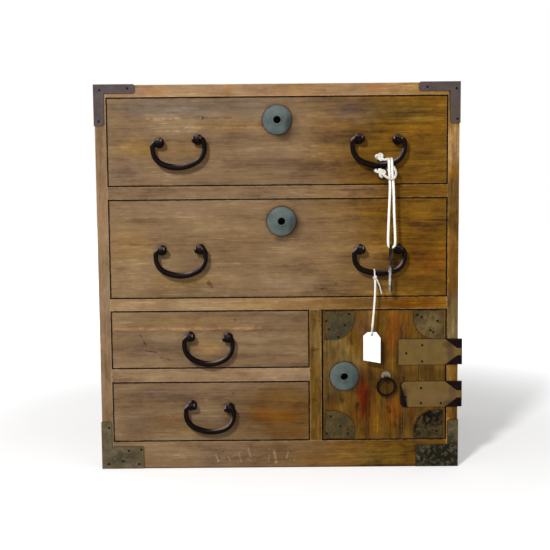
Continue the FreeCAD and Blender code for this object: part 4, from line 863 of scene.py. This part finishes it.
upper_knot = knot("cord_knot_upper", (125.6, -152.8, 391.3), (13.5, 11, 8), 2.6, 1.7, "cord_hitch")
neck = strand("cord_neck", (
    (126, -153.8, 390.2), (131.0, -156.0, 387.2), (134.4, -157.2, 389.0), (137.4, -157.6, 388.4)), 1.5,
    "cord_hitch")
lower_knot = knot("cord_knot_lower", (127.3, -160.0, 371.9), (13.5, 11.5, 7), 1.9, 1.6, "key_loop")
tail = strand("cord_tail", ((126, -160.0, 372.5), (121.5, -160.8, 373.0), (118.6, -160.6, 375.6)), 2.0,
              "key_loop")
collar = strand("cord_collar", (
    (129, -160.8, 370.0), (133, -162.6, 366.4), (138.0, -163.2, 364.2), (142.6, -162.4, 365.0),
    (145.0, -160.6, 369.5), (144.4, -158.6, 375.5), (141.6, -157.4, 379.6)), 1.5, "key_loop")

KEY_X, KEY_Y, SHAFT_R, SHAFT_FOOT, SHAFT_HEAD = 138.4, -159.4, 2.3, 225.3, 258.0
BORE_R, BORE_DEEP = 1.3, 8.0
SHAFT_PROFILE = (
    (0.001, BORE_DEEP), (BORE_R, BORE_DEEP), (BORE_R, 0.0), (SHAFT_R - 0.3, 0.0), (SHAFT_R, 0.4),
    (SHAFT_R, 24.0), (3.0, 24.6), (3.0, 26.2), (2.2, 26.8), (2.2, 28.6), (2.8, 29.2), (2.8, 30.6),
    (1.8, 32.0), (1.0, 33.4), (0.001, 33.4))
bm = bmesh.new()
line = drawn(bm, [(KEY_X + radius, KEY_Y, SHAFT_FOOT + rise) for radius, rise in SHAFT_PROFILE])
lathed(bm, line, UPRIGHT, 24, (KEY_X, KEY_Y, 0))
low, high = (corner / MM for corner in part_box("key"))
BOW_LOW, BOW_WIRE = SHAFT_HEAD - 0.8, 1.5
bow_up, bow_wide = (high.z - BOW_LOW) / 2 - BOW_WIRE, (high.y - low.y) / 2 - BOW_WIRE
# The bow is drawn as a ring of radius 1 and wire 0.1, and then stretched to its size.
space = Matrix.Translation((0, 0, 1)) @ Matrix.Rotation(pi / 2, 4, "X") @ Matrix.Scale(0.1, 4)
ring = bmesh.ops.create_circle(bm, segments=12, radius=1.0, matrix=space)["verts"]
lathed(bm, ring + list({e for v in ring for e in v.link_edges}), ACROSS, 40)
for v in [v for v in bm.verts if v.co.length < 2]:
    around = Vector((0, v.co.y, v.co.z))
    thick = (around.length - 1) * 10
    around.normalize()
    v.co = Vector((KEY_X + v.co.x * 10 * BOW_WIRE,
                   (low.y + high.y) / 2 + around.y * (bow_wide + thick * BOW_WIRE),
                   (BOW_LOW + high.z) / 2 + around.z * (bow_up + thick * BOW_WIRE)))
KEY_BITS = ((1.0, 9.6, 5.0), (1.0, 3.6, 7.4), (6.6, 9.6, 7.4))  # foot, head and reach of each
BIT_THICK, BIT_FROM, BIT_ROUND = 1.9, 1.5, 0.25
for foot, head, out in KEY_BITS:
    space = (Matrix.Translation((KEY_X, KEY_Y + (BIT_FROM + out) / 2, SHAFT_FOOT + (foot + head) / 2))
             @ Matrix.Diagonal((BIT_THICK, out - BIT_FROM, head - foot, 1)))
    block = bmesh.ops.create_cube(bm, size=1.0, matrix=space)["verts"]
    bmesh.ops.bevel(bm, geom=list({e for v in block for e in v.link_edges}), offset=BIT_ROUND,
                    offset_type="OFFSET", segments=2, profile=0.5, affect="EDGES", material=-1)
bmesh.ops.scale(bm, vec=(MM,) * 3, verts=bm.verts)
# The last patch darkens the right side of the shaft, away from the lamp: painted shade.
key_iron = forged("iron_key", ((226, 220, 212), (132, 122, 114)), (50, 40, 34, 0.6), rough=0.45,
    metallic=0.1, specular=0.1, rub=0.05, speckle=500, patches=[
    (138.4, 277, 60, 27, (10, 6, 5), 1.0)] * 2 + [
    (140.4, 240, 2.7, 60, (24, 18, 15), 1.0)], whole=1.0)
key = piece("door_key", bm, key_iron, "key_loop", ["key"])


# ---- The tag ----
# A blank card tag with clipped corners, on a thin twisted string tied round the handle's bar.

material, tree, shader, here = finish_of("card_white")
soil = step(tree, cloud(tree, here, 40), 0.4, 0.7)
colour = mixed(tree, soil, paint(250, 251, 253), paint(240, 240, 240))
fibrous = relief(tree, cloud(tree, here, 800, 4), 0.0001, 0.3)
fill(tree, shader, {"Base Color": colour, "Roughness": 0.75, "Normal": fibrous})
dressed("price_tag", material)

STRING_R, STRING_X, STRING_Y = 0.8, 119.0, -157.8
TAG_X = 115.6
round_bar = [(STRING_X, y, z) for y, z in (
    (-158.6, 243.0), (-158.4, 249.2), (-154.2, 252.9), (-149.4, 252.6), (-146.4, 248.0), (-147.2, 241.8),
    (-157.8, 239.8))]
fall = [(STRING_X + 0.4, STRING_Y, 228.0), (STRING_X - 1.2, STRING_Y, 204.0), (TAG_X, STRING_Y, 181.0)]
eye = [(TAG_X, y, z) for y, z in (
    (-159.5, 177.8), (-161.3, 174.8), (-159.5, 171.8), (-156.1, 171.8), (-154.3, 174.8), (-156.1, 177.8))]
string = strand("tag_string_line", round_bar + fall + eye, STRING_R, "tag")
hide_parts("tag_string")
back_up = [(x + 1.0, y - 0.5, z) for x, y, z in [eye[-1]] + fall[::-1] + [(STRING_X, STRING_Y, 242.0)]]
second = strand("tag_string_second", back_up, STRING_R, "tag")
loose = strand("tag_string_end", (
    (119.6, -158.4, 243.9), (122.5, -158.7, 238.9), (125.6, -158.4, 232.4), (127.6, -158.2, 222.9)), STRING_R,
    "tag")
string_knot = knot("tag_string_knot", (119.4, -158.9, 243.2), (6, 5.5, 3.4), 0.6, 0.8, "tag")


# ---- The room ----
# A plain pale floor, a soft light from the upper left and the camera in front.

def seen_at_once(tree):
    """1 where a ray comes from the camera, straight or by way of a mirror or glass, and otherwise 0."""
    rays = add(tree, "LightPath").outputs
    bent = sums(tree, "MAXIMUM", rays["Is Glossy Ray"], rays["Is Transmission Ray"])
    return sums(tree, "MAXIMUM", rays["Is Camera Ray"], bent)


FLOOR_HALF, FLOOR_DROP, FLOOR_GLOW, ROOM_DIM = 6.0, 0.0002, 0.3, 0.36
material, tree, shader, here = finish_of("pale_floor")
fill(tree, shader, {"Base Color": (0.92, 0.92, 0.92, 1.0), "Roughness": 0.9, "Specular IOR Level": 0.0})
reach = vectors(tree, "LENGTH", here, out="Value")
whiter = times(tree, seen_at_once(tree), step(tree, reach, 0.35, 1.0, FLOOR_GLOW, 1.0))
glow = add(tree, "Emission", {"Color": WHITE, "Strength": whiter}).outputs[0]
lit = add(tree, "AddShader", {0: tree.nodes["Principled BSDF"].outputs[0], 1: glow}).outputs[0]
tree.links.new(lit, tree.nodes["Material Output"].inputs["Surface"])
bm = bmesh.new()
bmesh.ops.create_grid(bm, x_segments=1, y_segments=1, size=FLOOR_HALF)
bmesh.ops.translate(bm, vec=(0, 0, -FLOOR_DROP), verts=bm.verts)
floor = formed("floor", bm, material)
bpy.context.scene.collection.objects.link(floor)
floor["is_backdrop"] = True

scene = bpy.context.scene
scene.view_settings.view_transform = "Standard"
world = bpy.data.worlds.new("room")
scene.world = world
world.use_nodes = True
tree = world.node_tree
tree.nodes.clear()
dim = add(tree, "Background", {"Color": WHITE, "Strength": ROOM_DIM}).outputs[0]
bright = add(tree, "Background", {"Color": WHITE, "Strength": 1.0}).outputs[0]
blend = add(tree, "MixShader", {0: seen_at_once(tree), 1: dim, 2: bright})
tree.links.new(blend.outputs[0], add(tree, "OutputWorld").inputs["Surface"])


def lamp(name, place, aim, size, power):
    """A round lamp at a place in the room, turned to another."""
    light = bpy.data.lights.new(name, "AREA")
    light.shape = "DISK"
    light.size = size
    light.energy = power
    made = bpy.data.objects.new(name, light)
    made.location = place
    made.rotation_euler = (Vector(aim) - Vector(place)).to_track_quat("-Z", "Y").to_euler()
    scene.collection.objects.link(made)


lamp("window", (-0.75, -2.0, 1.45), (0, 0, 0.24), 0.3, 44.0)
lamp("fill", (1.6, -2.2, 0.9), (0, 0, 0.24), 1.6, 5.0)

CAMERA_AT = Vector((-0.0009, FRONT - 1.294, 0.3714))
PITCH, YAW, ROLL = (radians(a) for a in (5.54, -0.145, -0.507))
ahead = Vector((sin(YAW) * cos(PITCH), cos(YAW) * cos(PITCH), -sin(PITCH)))
right = Vector((cos(YAW), -sin(YAW), 0))
up = right.cross(ahead)
across = right * cos(ROLL) + up * sin(ROLL)
above = up * cos(ROLL) - right * sin(ROLL)
FILM, FRAME, FOCAL = 36.0, 550, 1040  # film in millimetres, frame and focal length in pixels
camera = bpy.data.cameras.new("camera")
camera.sensor_width = FILM
camera.lens = FOCAL * FILM / FRAME
viewer = bpy.data.objects.new("camera", camera)
turn = Matrix((across, above, -ahead)).transposed().to_4x4()
viewer.matrix_world = Matrix.Translation(CAMERA_AT) @ turn
scene.collection.objects.link(viewer)
scene.camera = viewer

low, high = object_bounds()
